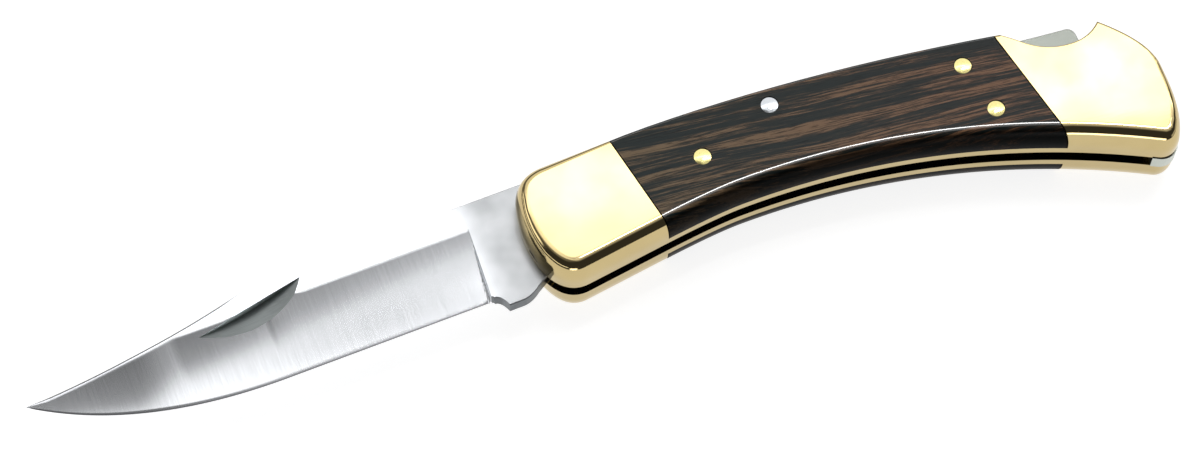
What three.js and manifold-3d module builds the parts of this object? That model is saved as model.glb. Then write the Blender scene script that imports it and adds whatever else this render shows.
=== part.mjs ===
// A lock-back folding hunting knife, open, lying on its right side.
//
// Millimetres. The origin is on the blade's pivot axis, in the plane that the knife rests on.
// +X runs along the blade's straight spine from the tip to the butt, +Y goes towards the back
// of the handle, and +Z goes up through the knife's thickness, so its left side is on top.
// The layers are symmetrical about the middle of the blade slot.

import * as THREE from 'three';
import { mergeVertices } from 'three/addons/utils/BufferGeometryUtils.js';
import Module from 'manifold-3d';

const wasm = await Module();
wasm.setup();

// Thickness of the layers, from the slot outwards
const BLADE_THICKNESS = 3.05;
const RUNNING_GAP = 0.1;
const LINER_THICKNESS = 1.7;
const COVER_THICKNESS = 5.2;

// Blade, measured from the pivot or from the tip
const BLADE_REACH = 105.6;
const BLADE_WIDTH = 19.5;
const SPINE_Y = 11.9;
const TIP_DROP = 7.15;
const CLIP_LENGTH = 46.6;
const CLIP_CONTROL_LENGTH = 26.2;
const CLIP_CONTROL_DROP = 6.25;
const BELLY_LENGTH = 45.6;
const BELLY_CONTROL_LENGTH = 17.6;
const TIP_THICKNESS = 1.5;
const TIP_BLUNTING = 0.15;

// Hollow grind: the plunge at its rear end leans, so its upper end is nearer the handle
const RICASSO_END_X = -20.8;
const PLUNGE_LEAN = THREE.MathUtils.degToRad(4);
const FLAT_WIDTH = 5.0;
const CLIP_FLAT_WIDTH = 0.7;
const GRINDING_WHEEL_RADIUS = 58;
const PLUNGE_RADIUS = 1.6;
const EDGE_BEVEL_WIDTH = 0.7;
const EDGE_BEVEL_THICKNESS = 0.6;
const EDGE_THICKNESS = 0.08;

// Nail nick: the straight wall's ends, the cutting wheel and how deep it goes
const NICK_CENTRE_X = -62.6;
const NICK_DROP = 4.5;
const NICK_LENGTH = 22.6;
const NICK_WIDTH = 3.4;
const NICK_SLOPE = THREE.MathUtils.degToRad(11.6);
const NICK_DEPTH = 1.15;

// Tang: its round, the lock notch and the kick in front of the handle
const TANG_RADIUS = 6.6;
const LOCK_STEP_X = -2.2;
const NOTCH_LENGTH = 3.9;
const NOTCH_DEPTH = 1.2;
const KICK_DROP = 2.35;
const KICK_LENGTH = 2.6;
const KICK_SLOPE_LENGTH = 2.0;
const KICK_REAR_RISE = 1.5;
const KICK_REAR_LENGTH = 3.7;
const KICK_FRONT_HOLLOW = 0.9;
const KICK_REAR_ROUND = 1.8;
const HEEL_LENGTH = 2.5;
const HEEL_HOLLOW = 3.4;
const HEEL_RISE = 1.4;
const TANG_ROUND_START = THREE.MathUtils.degToRad(245);
const CHOIL_RADIUS = 0.5;

// Handle outline along the back
const HANDLE_FRONT_X = -11.5;
const STEEL_PROUD = 0.4;
const BACK_STRAIGHT_END_X = 12.5;
const BACK_CONTROL_LENGTH = 33.5;
const BACK_REAR_DROP = 7.0;
const BACK_REAR_SETBACK = 26.8;

// Its front end: two rounded corners with a slightly bulging face between them
const FRONT_CORNER_LENGTH = 7.9;
const FRONT_CORNER_HEIGHT = 5.0;
const FRONT_CORNER_CONTROL = 2.3;
const FRONT_FACE_BULGE = 0.85;
const FRONT_TOE_LENGTH = 5.0;
const FRONT_TOE_HEIGHT = 5.9;

// Its belly: a straight that rises from the front, then one long arc down to the butt
const FRONT_BELLY_X = -3.4;
const FRONT_BELLY_Y = -11.55;
const BELLY_TOP_X = 28.5;
const BELLY_TOP_Y = -8.1;
const BELLY_TURN_LENGTH = 5.1;
const BELLY_TURN_LEAD = 10.8;
const BELLY_DROP = 19.9;

// Its butt: the round toe under it, and the curve that rises from there to the horn
const BUTT_WALL = 5.1;
const TIP_CLEARANCE = 0.4;
const BUTT_FULLEST_Y = -13;
const BUTT_UPPER_REACH = 7;
const BUTT_START_SLOPE = THREE.MathUtils.degToRad(54);
const TOE_LENGTH = 7.6;
const TOE_FLAT_RADIUS = 0.5;
const EDGE_ROUND_WIDTH = 2.7;
const EDGE_ROUND_HEIGHT = 4.8;

// Thumb scoop and horn, measured from the butt
const HORN_SETBACK = 7.7;
const HORN_Y = -0.1;
const SCOOP_BOTTOM_SETBACK = 13.9;
const SCOOP_DEPTH = 2.7;
const SCOOP_SHOULDER_SETBACK = 22.9;
const SCOOP_SHOULDER_RISE = 1.0;
const SCOOP_RAMP_LENGTH = 3.7;
const SCOOP_BLEND_LENGTH = 3.0;
const SCOOP_RUNOUT_LENGTH = 5.7;
const SCOOP_RUNOUT_RISE = 0.9;
const SCOOP_EDGE_ROUND = 0.4;
const HORN_HOOK = 2.7;
const HORN_BACK_DROP = 5.2;
const HORN_BACK_SETBACK = 2.2;
const HORN_BLANK_SETBACK = 5.7;
const HORN_BLANK_RISE = 5.1;
const HORN_CUT_BELOW = 9.3;
const OUTLINE_MARGIN = 0.8;

// Bolsters and scales
const FRONT_JOINT_X = 11.4;
const REAR_BOLSTER_LENGTH = 26.5;
const JOINT_TILT = THREE.MathUtils.degToRad(10);
const JOINT_GAP = 0.25;
const PEENED_COVER = 1.5;

// Pins
const PIN_RADIUS = 1.5875;
const PIN_DOME = 0.3;
const PIN_FIT = 0.08;
const PIVOT_PIN_RADIUS = 2.4;
const BUSHING_WALL = 1.0;
const BUSHING_FIT = 0.08;
const LOCK_PIN_X = 39.65;
const LOCK_PIN_BELOW_BACK = 3.95;
const FRONT_PIN_FROM_JOINT = 12.75;
const FRONT_PIN_BELOW_BACK = 9.9;
const REAR_UPPER_PIN_FROM_JOINT = 8.7;
const REAR_UPPER_PIN_BELOW_BACK = 5.55;
const REAR_LOWER_PIN_FROM_JOINT = 6.75;
const REAR_LOWER_PIN_ABOVE_BELLY = 6.45;

// Lock bar
const LUG_LENGTH = 3.1;
const LUG_GAP = 0.25;
const LUG_CLEARANCE = 0.35;
const FRONT_ARM_THICKNESS = 3.55;
const FRONT_ARM_LENGTH = 24;
const LUG_ROOT_FILLET = 0.6;
const LOCK_BOSS_RADIUS = 3.3;
const BOSS_BLEND_ANGLE = 0.55;
const REAR_ARM_THICKNESS = 2.5;
const REAR_ARM_FROM_LOCK_PIN = 4.9;
const REAR_ARM_CONTROL_LENGTH = 17;
const REAR_ARM_WAIST = 0.6;
const TAIL_END_SETBACK = 10.5;
const TAIL_THICKNESS = 4.4;
const TAIL_DROP = 1.65;
const TAIL_SWELL_LENGTH = 7;
const TAIL_SWELL_RISE = 0.8;
const TAIL_LOWER_ROUND = 1.0;
const TAIL_UPPER_ROUND = 2.0;
const TAIL_CROWN_LENGTH = 9.5;
const TAIL_CROWN_RISE = 0.75;
const LOCK_BAR_TRAVEL = THREE.MathUtils.degToRad(2.5);

// Back spacer and leaf spring
const SPACER_FRONT_SETBACK = 26.8;
const SPACER_TOP_CLEARANCE = 0.35;
const SPACER_NOSE_DROP = 5.2;
const SPACER_NOSE_LENGTH = 10.6;
const SPACER_NOSE_FALL = 4.2;
const SWING_CUT_TOP_Y = -15.85;
const SWING_CUT_ANGLE = THREE.MathUtils.degToRad(12);
const TAIL_POCKET_GAP = 0.9;
const TAIL_POCKET_LENGTH = 7;
const SPACER_LIP = 0.5;
const SPACER_FRONT_PIN_SETBACK = 16.2;
const SPACER_FRONT_PIN_Y = -6.3;
const SPACER_REAR_PIN_Y = -19.5;
const SPRING_THICKNESS = 0.9;
const SPRING_WIDTH = 2.8;
const SPRING_ROOT_LENGTH = 5;
const SPRING_ROOT_BELOW_TOP = 3.6;
const SPRING_BEND_LENGTH = 4.6;
const SPRING_FIT = 0.1;
const SPRING_TIP_FROM_LOCK_PIN = 7.4;
const SPRING_TIP_CLEARANCE = 0.35;

// Facets
const CURVE_STEPS = 12;
const ROUND_STEPS = 5;
const SCOOP_ROUND_STEPS = 3;
const PIN_SIDES = 24;
const DOME_STEPS = 3;
const TANG_STEPS = 20;
const BLADE_STEPS = 26;
const PLUNGE_STEPS = 6;
const HOLLOW_STEPS = 8;
const WHEEL_SIDES = 360;
const HALVINGS = 40;
const SAME_POINT = 1e-5;

// How far cutting shapes reach past what they cut
const BEYOND = 40;
const CUT_PAST = 1;

// Sizes worked out from the ones above
const SLOT_WIDTH = BLADE_THICKNESS + 2 * RUNNING_GAP;
const SLOT_HALF = SLOT_WIDTH / 2;
const LINER_TOP = SLOT_HALF + LINER_THICKNESS;
const HANDLE_HALF = LINER_TOP + COVER_THICKNESS;
const EDGE_Y = SPINE_Y - BLADE_WIDTH;
const TIP_Y = SPINE_Y - TIP_DROP;
const TIP_SWING = Math.hypot(BLADE_REACH, TIP_Y) + TIP_CLEARANCE;
const BUTT_X = TIP_SWING + BUTT_WALL;
const BELLY_RUN = BUTT_X - TOE_LENGTH - BELLY_TOP_X;
const BELLY_RADIUS = (BELLY_RUN ** 2 + BELLY_DROP ** 2) / (2 * BELLY_DROP);
const BACK_Y = SPINE_Y - STEEL_PROUD;
const BACK_REAR_X = BUTT_X - BACK_REAR_SETBACK;
const BACK_REAR_Y = BACK_Y - BACK_REAR_DROP;
const REAR_JOINT_X = BUTT_X - REAR_BOLSTER_LENGTH;
const SCOOP_BOTTOM_Y = HORN_Y - SCOOP_DEPTH;
const BUSHING_RADIUS = PIVOT_PIN_RADIUS + PIN_FIT + BUSHING_WALL;
const LUG_RADIUS = TANG_RADIUS + LUG_CLEARANCE;
const LUG_FRONT_X = LOCK_STEP_X + LUG_GAP;
const TAIL_END_X = BUTT_X - TAIL_END_SETBACK;
const SPACER_FRONT_X = BUTT_X - SPACER_FRONT_SETBACK;

const POLISHED_BRASS = { color: 0xd8c078, roughness: 0.18, metalness: 1 };
const SATIN_BLADE_STEEL = { color: 0xc9ccce, roughness: 0.3, metalness: 1 };
const SATIN_STEEL = { color: 0xa9aeac, roughness: 0.4, metalness: 1 };
const DARK_STRIPED_WOOD = { color: 0x3a2a26, roughness: 0.35, metalness: 0 };

// A closed three.js geometry as a solid that can be cut and joined
function solidOf(geometry) {
  const bare = geometry.clone();
  bare.deleteAttribute('normal');
  bare.deleteAttribute('uv');
  const welded = mergeVertices(bare, SAME_POINT);
  return new wasm.Manifold(new wasm.Mesh({
    numProp: 3,
    vertProperties: welded.attributes.position.array,
    triVerts: new Uint32Array(welded.index.array),
  }));
}

function geometryOf(solid) {
  const mesh = solid.getMesh();
  const geometry = new THREE.BufferGeometry();
  geometry.setAttribute('position', new THREE.BufferAttribute(mesh.vertProperties, 3));
  geometry.setIndex(new THREE.BufferAttribute(mesh.triVerts, 1));
  geometry.computeVertexNormals();
  return geometry;
}

// The same geometry on the other side of the slot, with its faces still pointing out
function mirrored(geometry) {
  const copy = geometry.clone().scale(1, 1, -1);
  const index = copy.index.array;
  for (let i = 0; i < index.length; i += 3) {
    [index[i], index[i + 1]] = [index[i + 1], index[i]];
  }
  copy.computeVertexNormals();
  return copy;
}

// The same outline as straight facets, with no point twice where a line meets an arc
function facetted(shape, steps) {
  const points = shape.getPoints(steps);
  return new THREE.Shape(points.filter((point, i) => {
    const next = points[(i + 1) % points.length];
    return point.distanceTo(next) > SAME_POINT;
  }));
}

function prism(shape, zLow, zHigh, steps = CURVE_STEPS) {
  const settings = { depth: zHigh - zLow, bevelEnabled: false };
  return solidOf(new THREE.ExtrudeGeometry(facetted(shape, steps), settings).translate(0, 0, zLow));
}

// A slab through the whole handle whose two rims are rounded in by width over height
function roundedSlab(shape, width, height, rounds) {
  const depth = 2 * (HANDLE_HALF - height);
  const geometry = new THREE.ExtrudeGeometry(facetted(shape, CURVE_STEPS), {
    depth,
    bevelThickness: height,
    bevelSize: width,
    bevelOffset: -width,
    bevelSegments: rounds,
  });
  return solidOf(geometry.translate(0, 0, -depth / 2));
}

function rod(radius, x, y, zLow, zHigh) {
  const geometry = new THREE.CylinderGeometry(radius, radius, zHigh - zLow, PIN_SIDES);
  return solidOf(geometry.rotateX(Math.PI / 2).translate(x, y, (zLow + zHigh) / 2));
}

// Height of a curve that runs one way along X, found by halving
function heightAt(curve, x) {
  const rising = curve.getPoint(1).x > curve.getPoint(0).x;
  let low = 0;
  let high = 1;
  for (let step = 0; step < HALVINGS; step += 1) {
    const middle = (low + high) / 2;
    if ((curve.getPoint(middle).x < x) === rising) {
      low = middle;
    } else {
      high = middle;
    }
  }
  return curve.getPoint(low).y;
}

function curveThrough(startX, startY, controlX, controlY, endX, endY) {
  return new THREE.QuadraticBezierCurve(
    new THREE.Vector2(startX, startY),
    new THREE.Vector2(controlX, controlY),
    new THREE.Vector2(endX, endY),
  );
}

// The handle's back falls away from the straight in one curve; lift raises it for the steel
function backCurve(lift) {
  const y = BACK_Y + lift;
  const controlX = BACK_STRAIGHT_END_X + BACK_CONTROL_LENGTH;
  return curveThrough(BACK_STRAIGHT_END_X, y, controlX, y, BACK_REAR_X, y - BACK_REAR_DROP);
}

function bellyHeight(x) {
  return BELLY_TOP_Y - BELLY_RADIUS + Math.sqrt(BELLY_RADIUS ** 2 - (x - BELLY_TOP_X) ** 2);
}

const BACK = backCurve(0);

// Where each pin stands
const LOCK_PIN_Y = heightAt(BACK, LOCK_PIN_X) - LOCK_PIN_BELOW_BACK;
const FRONT_PIN_X = FRONT_JOINT_X + FRONT_PIN_FROM_JOINT;
const REAR_UPPER_PIN_X = REAR_JOINT_X - REAR_UPPER_PIN_FROM_JOINT;
const REAR_LOWER_PIN_X = REAR_JOINT_X - REAR_LOWER_PIN_FROM_JOINT;
const SPACER_FRONT_PIN_X = BUTT_X - SPACER_FRONT_PIN_SETBACK;
const SPACER_REAR_INNER_X = Math.sqrt(TIP_SWING ** 2 - SPACER_REAR_PIN_Y ** 2);
const SPACER_REAR_PIN_X = (SPACER_REAR_INNER_X + BUTT_X - SPACER_LIP) / 2;

const SCALE_PINS = [
  { name: 'front_scale_pin', x: FRONT_PIN_X, y: heightAt(BACK, FRONT_PIN_X) - FRONT_PIN_BELOW_BACK },
  {
    name: 'rear_upper_scale_pin',
    x: REAR_UPPER_PIN_X,
    y: heightAt(BACK, REAR_UPPER_PIN_X) - REAR_UPPER_PIN_BELOW_BACK,
  },
  {
    name: 'rear_lower_scale_pin',
    x: REAR_LOWER_PIN_X,
    y: bellyHeight(REAR_LOWER_PIN_X) + REAR_LOWER_PIN_ABOVE_BELLY,
  },
];

const SPACER_PINS = [
  { name: 'spacer_pin_front', x: SPACER_FRONT_PIN_X, y: SPACER_FRONT_PIN_Y },
  { name: 'spacer_pin_rear', x: SPACER_REAR_PIN_X, y: SPACER_REAR_PIN_Y },
];

// The handle from the side, before the scoop and the horn are cut
function handleShape() {
  const turnX = BELLY_TOP_X - BELLY_TURN_LENGTH;
  const slope = (BELLY_TOP_Y - FRONT_BELLY_Y) / (turnX - FRONT_BELLY_X);
  const cornerX = HANDLE_FRONT_X + FRONT_CORNER_LENGTH;
  const cornerY = BACK_Y - FRONT_CORNER_HEIGHT;
  const faceX = HANDLE_FRONT_X + FRONT_FACE_BULGE;
  const faceFootY = FRONT_BELLY_Y + FRONT_TOE_HEIGHT;
  const bulgeX = HANDLE_FRONT_X - FRONT_FACE_BULGE;
  const arcEnd = Math.acos(BELLY_RUN / BELLY_RADIUS);
  const toeRadius = EDGE_ROUND_WIDTH + TOE_FLAT_RADIUS;
  const toeX = BUTT_X - TOE_LENGTH + toeRadius * Math.cos(arcEnd);
  const toeY = BELLY_TOP_Y - BELLY_DROP + toeRadius * Math.sin(arcEnd);
  const toeEndX = toeX + toeRadius * Math.sin(BUTT_START_SLOPE);
  const toeEndY = toeY - toeRadius * Math.cos(BUTT_START_SLOPE);
  const buttControlY = toeEndY + (BUTT_X - toeEndX) * Math.tan(BUTT_START_SLOPE);
  const hornBlankX = BUTT_X - HORN_BLANK_SETBACK;
  const shape = new THREE.Shape();
  shape.moveTo(BACK_STRAIGHT_END_X, BACK_Y);
  shape.lineTo(cornerX, BACK_Y);
  shape.quadraticCurveTo(HANDLE_FRONT_X + FRONT_CORNER_CONTROL, BACK_Y, faceX, cornerY);
  shape.quadraticCurveTo(bulgeX, (cornerY + faceFootY) / 2, faceX, faceFootY);
  shape.quadraticCurveTo(
    FRONT_BELLY_X - FRONT_TOE_LENGTH, FRONT_BELLY_Y - FRONT_TOE_LENGTH * slope,
    FRONT_BELLY_X, FRONT_BELLY_Y,
  );
  shape.lineTo(turnX - BELLY_TURN_LEAD, BELLY_TOP_Y - BELLY_TURN_LEAD * slope);
  shape.quadraticCurveTo(turnX, BELLY_TOP_Y, BELLY_TOP_X, BELLY_TOP_Y);
  shape.absarc(BELLY_TOP_X, BELLY_TOP_Y - BELLY_RADIUS, BELLY_RADIUS, Math.PI / 2, arcEnd, true);
  shape.absarc(toeX, toeY, toeRadius, arcEnd - Math.PI, BUTT_START_SLOPE - Math.PI / 2, false);
  shape.quadraticCurveTo(BUTT_X, buttControlY, BUTT_X, BUTT_FULLEST_Y);
  shape.quadraticCurveTo(BUTT_X, BUTT_FULLEST_Y + BUTT_UPPER_REACH, hornBlankX, HORN_Y + HORN_BLANK_RISE);
  shape.lineTo(BACK_REAR_X, BACK_REAR_Y);
  const back = BACK.getPoints(CURVE_STEPS).reverse();
  for (const point of back.slice(1, -1)) {
    shape.lineTo(point.x, point.y);
  }
  return shape;
}

// What the scoop and the horn leave of the handle. Elsewhere it stands clear of the outline.
function scoopAndHornShape() {
  const hornX = BUTT_X - HORN_SETBACK;
  const bottomX = BUTT_X - SCOOP_BOTTOM_SETBACK;
  const shoulderX = BUTT_X - SCOOP_SHOULDER_SETBACK;
  const shoulderY = HORN_Y + SCOOP_SHOULDER_RISE;
  const runoutX = shoulderX - SCOOP_RUNOUT_LENGTH;
  const hornBackX = BUTT_X - HORN_BACK_SETBACK;
  const shape = new THREE.Shape();
  shape.moveTo(-BEYOND, BEYOND);
  shape.lineTo(-BEYOND, -2 * BEYOND);
  shape.lineTo(BUTT_X + BEYOND, -2 * BEYOND);
  shape.lineTo(BUTT_X + OUTLINE_MARGIN, BUTT_FULLEST_Y - HORN_CUT_BELOW);
  shape.lineTo(BUTT_X + OUTLINE_MARGIN / 4, BUTT_FULLEST_Y - HORN_CUT_BELOW / 2);
  shape.quadraticCurveTo(hornBackX, HORN_Y - HORN_BACK_DROP, hornX, HORN_Y);
  shape.quadraticCurveTo(hornX - HORN_HOOK, SCOOP_BOTTOM_Y, bottomX, SCOOP_BOTTOM_Y);
  shape.quadraticCurveTo(shoulderX + SCOOP_RAMP_LENGTH, SCOOP_BOTTOM_Y, shoulderX, shoulderY);
  shape.quadraticCurveTo(
    shoulderX - SCOOP_BLEND_LENGTH, shoulderY + SCOOP_BLEND_LENGTH,
    runoutX, BACK_REAR_Y + SCOOP_RUNOUT_RISE,
  );
  shape.lineTo(runoutX - SCOOP_BLEND_LENGTH, BEYOND);
  return shape;
}

// A slab between two joint lines, which cross the pivot's level at the given places
function betweenJoints(xFrom, xTo) {
  const length = (xTo - xFrom) * Math.cos(JOINT_TILT);
  const box = new THREE.BoxGeometry(length, 4 * BEYOND, 2 * BEYOND);
  return solidOf(box.rotateZ(JOINT_TILT).translate((xFrom + xTo) / 2, 0, 0));
}

// The whole cover on the upper liner, before it is parted into bolsters and scale
function coverSolid() {
  const above = new THREE.BoxGeometry(6 * BEYOND, 4 * BEYOND, BEYOND);
  return roundedSlab(handleShape(), EDGE_ROUND_WIDTH, EDGE_ROUND_HEIGHT, ROUND_STEPS)
    .intersect(roundedSlab(scoopAndHornShape(), SCOOP_EDGE_ROUND, SCOOP_EDGE_ROUND, SCOOP_ROUND_STEPS))
    .intersect(solidOf(above.translate(BEYOND, 0, LINER_TOP + BEYOND / 2)));
}

const COVER = coverSolid();
const BLIND_TOP = HANDLE_HALF - PEENED_COVER;

function frontBolster() {
  return COVER
    .intersect(betweenJoints(HANDLE_FRONT_X - BEYOND, FRONT_JOINT_X))
    .subtract(rod(PIVOT_PIN_RADIUS + PIN_FIT, 0, 0, LINER_TOP - CUT_PAST, BLIND_TOP + PIN_FIT));
}

function rearBolster() {
  let bolster = COVER.intersect(betweenJoints(REAR_JOINT_X, BUTT_X + BEYOND));
  for (const pin of SPACER_PINS) {
    const hole = rod(PIN_RADIUS + PIN_FIT, pin.x, pin.y, LINER_TOP - CUT_PAST, BLIND_TOP + PIN_FIT);
    bolster = bolster.subtract(hole);
  }
  return bolster;
}

function scale() {
  let wood = COVER.intersect(betweenJoints(FRONT_JOINT_X + JOINT_GAP, REAR_JOINT_X - JOINT_GAP));
  for (const pin of [...SCALE_PINS, { x: LOCK_PIN_X, y: LOCK_PIN_Y }]) {
    wood = wood.subtract(rod(PIN_RADIUS + PIN_FIT, pin.x, pin.y, 0, HANDLE_HALF + CUT_PAST));
  }
  return wood;
}

// A plate of the handle's outline, as the liners and the back spacer are
function handlePlate(zLow, zHigh) {
  const hornCut = prism(scoopAndHornShape(), zLow - CUT_PAST, zHigh + CUT_PAST);
  return prism(handleShape(), zLow, zHigh).intersect(hornCut);
}

function liner() {
  let plate = handlePlate(SLOT_HALF, LINER_TOP);
  for (const pin of [...SCALE_PINS, ...SPACER_PINS, { x: LOCK_PIN_X, y: LOCK_PIN_Y }]) {
    plate = plate.subtract(rod(PIN_RADIUS + PIN_FIT, pin.x, pin.y, 0, HANDLE_HALF));
  }
  return plate.subtract(rod(PIVOT_PIN_RADIUS + PIN_FIT, 0, 0, 0, HANDLE_HALF));
}

// A pin with a low dome at its upper end, and at its lower end too where it goes right through
function domedPin(zLow, zHigh, bothEnds) {
  const domeRadius = (PIN_RADIUS ** 2 + PIN_DOME ** 2) / (2 * PIN_DOME);
  const halfAngle = Math.asin(PIN_RADIUS / domeRadius);
  const upper = [];
  for (let step = 0; step <= DOME_STEPS; step += 1) {
    const angle = halfAngle * (1 - step / DOME_STEPS);
    const drop = domeRadius * (1 - Math.cos(angle));
    upper.push(new THREE.Vector2(domeRadius * Math.sin(angle), zHigh - drop));
  }
  const profile = bothEnds
    ? upper.slice().reverse().map((point) => new THREE.Vector2(point.x, zLow + zHigh - point.y))
    : [new THREE.Vector2(0, zLow), new THREE.Vector2(PIN_RADIUS, zLow)];
  return solidOf(new THREE.LatheGeometry([...profile, ...upper], PIN_SIDES).rotateX(Math.PI / 2));
}

function pivotBushing() {
  return rod(BUSHING_RADIUS, 0, 0, -SLOT_HALF, SLOT_HALF)
    .subtract(rod(PIVOT_PIN_RADIUS + PIN_FIT, 0, 0, -HANDLE_HALF, HANDLE_HALF));
}

const CLIP = curveThrough(
  -BLADE_REACH, TIP_Y,
  CLIP_CONTROL_LENGTH - BLADE_REACH, SPINE_Y - CLIP_CONTROL_DROP,
  CLIP_LENGTH - BLADE_REACH, SPINE_Y,
);
const BELLY_EDGE = curveThrough(
  -BLADE_REACH, TIP_Y,
  BELLY_CONTROL_LENGTH - BLADE_REACH, EDGE_Y,
  BELLY_LENGTH - BLADE_REACH, EDGE_Y,
);

const CURVES_START_X = Math.max(CLIP_LENGTH, BELLY_LENGTH) - BLADE_REACH;

// The plunge leans, so what lies behind the curved part of the blade is sheared along X
function leaned(x, y) {
  return x > CURVES_START_X ? x + (y - EDGE_Y) * Math.tan(PLUNGE_LEAN) : x;
}

// Half the blade's thickness where it isn't ground: full to the clip, then thinner to the tip
function flatHalfThickness(x) {
  const along = Math.max(0, (CLIP_LENGTH - BLADE_REACH - x) / CLIP_LENGTH);
  return THREE.MathUtils.lerp(BLADE_THICKNESS, TIP_THICKNESS, along) / 2;
}

// One cross-section of the ground blade, from the spine down one side and up the other.
// Each side is a flat, the hollow left by the grinding wheel, and the narrow edge bevel.
function bladeSection(x) {
  const top = x < CLIP_LENGTH - BLADE_REACH ? heightAt(CLIP, x) : SPINE_Y;
  const edge = x < BELLY_LENGTH - BLADE_REACH ? heightAt(BELLY_EDGE, x) : EDGE_Y;
  const height = top - edge;
  const grindTop = Math.min(SPINE_Y - FLAT_WIDTH, top - Math.min(CLIP_FLAT_WIDTH, height / 4));
  const bevelTop = edge + Math.min(EDGE_BEVEL_WIDTH, height / 4);
  const full = flatHalfThickness(x);
  const thin = Math.min(EDGE_BEVEL_THICKNESS / 2, full);
  const hollow = (grindTop - bevelTop) ** 2 / (8 * GRINDING_WHEEL_RADIUS);
  const intoGrind = Math.max(0, RICASSO_END_X - x);
  const cornerDepth = intoGrind < PLUNGE_RADIUS
    ? Math.sqrt(intoGrind * (2 * PLUNGE_RADIUS - intoGrind))
    : PLUNGE_RADIUS;
  const side = [[top, full]];
  for (let step = 0; step <= HOLLOW_STEPS; step += 1) {
    const down = step / HOLLOW_STEPS;
    const ground = full + (thin - full) * down - 4 * hollow * down * (1 - down);
    const y = THREE.MathUtils.lerp(grindTop, bevelTop, down);
    side.push([y, Math.max(ground, full - cornerDepth)]);
  }
  side.push([edge, Math.max(EDGE_THICKNESS / 2, full - cornerDepth)]);
  const otherSide = side.slice().reverse().map(([y, z]) => [y, -z]);
  return [...side, ...otherSide].map(([y, z]) => new THREE.Vector3(leaned(x, y), y, z));
}

// Stations along the blade: close together in the plunge and towards the tip
function bladeStations() {
  const stations = [RICASSO_END_X + CHOIL_RADIUS];
  for (let step = 0; step <= PLUNGE_STEPS; step += 1) {
    stations.push(RICASSO_END_X - PLUNGE_RADIUS * (step / PLUNGE_STEPS) ** 2);
  }
  const tip = TIP_BLUNTING - BLADE_REACH;
  for (let step = 0; step <= BLADE_STEPS; step += 1) {
    const along = Math.sin((step / BLADE_STEPS) * (Math.PI / 2));
    stations.push(THREE.MathUtils.lerp(CURVES_START_X, tip, along));
  }
  return stations;
}

function groundBlade() {
  const sections = bladeStations().map(bladeSection);
  const around = sections[0].length;
  const positions = sections.flat().flatMap((point) => [point.x, point.y, point.z]);
  const faces = [];
  for (let row = 0; row + 1 < sections.length; row += 1) {
    for (let column = 0; column < around; column += 1) {
      const next = (column + 1) % around;
      const a = row * around + column;
      const b = row * around + next;
      faces.push(a, a + around, b, b, a + around, b + around);
    }
  }
  const last = (sections.length - 1) * around;
  for (let column = 0; column < around / 2 - 1; column += 1) {
    const across = around - 1 - column;
    faces.push(column, column + 1, across, column + 1, across - 1, across);
    faces.push(last + column, last + across, last + column + 1);
    faces.push(last + column + 1, last + across, last + across - 1);
  }
  const geometry = new THREE.BufferGeometry();
  geometry.setAttribute('position', new THREE.Float32BufferAttribute(positions, 3));
  geometry.setIndex(faces);
  return solidOf(geometry);
}

// Ricasso and tang from the side: kick, round, lock notch and the step behind the spine
function tangShape() {
  const kickY = EDGE_Y - KICK_DROP;
  const kickFrontX = RICASSO_END_X + CHOIL_RADIUS + KICK_SLOPE_LENGTH;
  const kickRearX = kickFrontX + KICK_LENGTH;
  const riseX = kickRearX + KICK_REAR_LENGTH;
  const riseY = kickY + KICK_REAR_RISE;
  const roundX = TANG_RADIUS * Math.cos(TANG_ROUND_START);
  const roundY = TANG_RADIUS * Math.sin(TANG_ROUND_START);
  const notchRearX = LOCK_STEP_X + NOTCH_LENGTH;
  const notchFloorY = TANG_RADIUS - NOTCH_DEPTH;
  const notchAngle = Math.acos(notchRearX / TANG_RADIUS) + 2 * Math.PI;
  const shape = new THREE.Shape();
  shape.moveTo(leaned(RICASSO_END_X, SPINE_Y), SPINE_Y);
  shape.lineTo(RICASSO_END_X, EDGE_Y);
  shape.lineTo(RICASSO_END_X + CHOIL_RADIUS, EDGE_Y);
  shape.quadraticCurveTo(kickFrontX - KICK_FRONT_HOLLOW, EDGE_Y, kickFrontX, kickY);
  shape.lineTo(kickRearX, kickY);
  shape.quadraticCurveTo(kickRearX + KICK_REAR_ROUND, kickY, riseX, riseY);
  shape.lineTo(riseX + HEEL_LENGTH, riseY + KICK_REAR_RISE);
  shape.quadraticCurveTo(roundX - HEEL_HOLLOW, roundY + HEEL_RISE, roundX, roundY);
  shape.absarc(0, 0, TANG_RADIUS, TANG_ROUND_START, notchAngle, false);
  shape.lineTo(notchRearX, notchFloorY);
  shape.lineTo(LOCK_STEP_X, notchFloorY);
  shape.lineTo(LOCK_STEP_X, SPINE_Y);
  return shape;
}

// The nail nick as a wheel with a bevelled rim cuts it: a straight wall towards the spine, and a
// floor that rises from it and runs out along an arc
function nickWheel() {
  const radius = NICK_LENGTH ** 2 / (8 * NICK_DEPTH);
  const taper = NICK_DEPTH / NICK_WIDTH;
  const width = 2 * NICK_WIDTH;
  const wheel = new THREE.CylinderGeometry(radius, radius - taper * width, width, WHEEL_SIDES);
  wheel.translate(0, -width / 2, 0).rotateZ(NICK_SLOPE);
  const surface = flatHalfThickness(NICK_CENTRE_X);
  return solidOf(wheel.translate(NICK_CENTRE_X, SPINE_Y - NICK_DROP, surface + radius - NICK_DEPTH));
}

function blade() {
  const half = BLADE_THICKNESS / 2;
  return groundBlade()
    .add(prism(tangShape(), -half, half, TANG_STEPS))
    .subtract(rod(CHOIL_RADIUS, RICASSO_END_X, EDGE_Y, -half - CUT_PAST, half + CUT_PAST))
    .subtract(rod(BUSHING_RADIUS + BUSHING_FIT, 0, 0, -half - CUT_PAST, half + CUT_PAST))
    .subtract(nickWheel());
}

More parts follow.
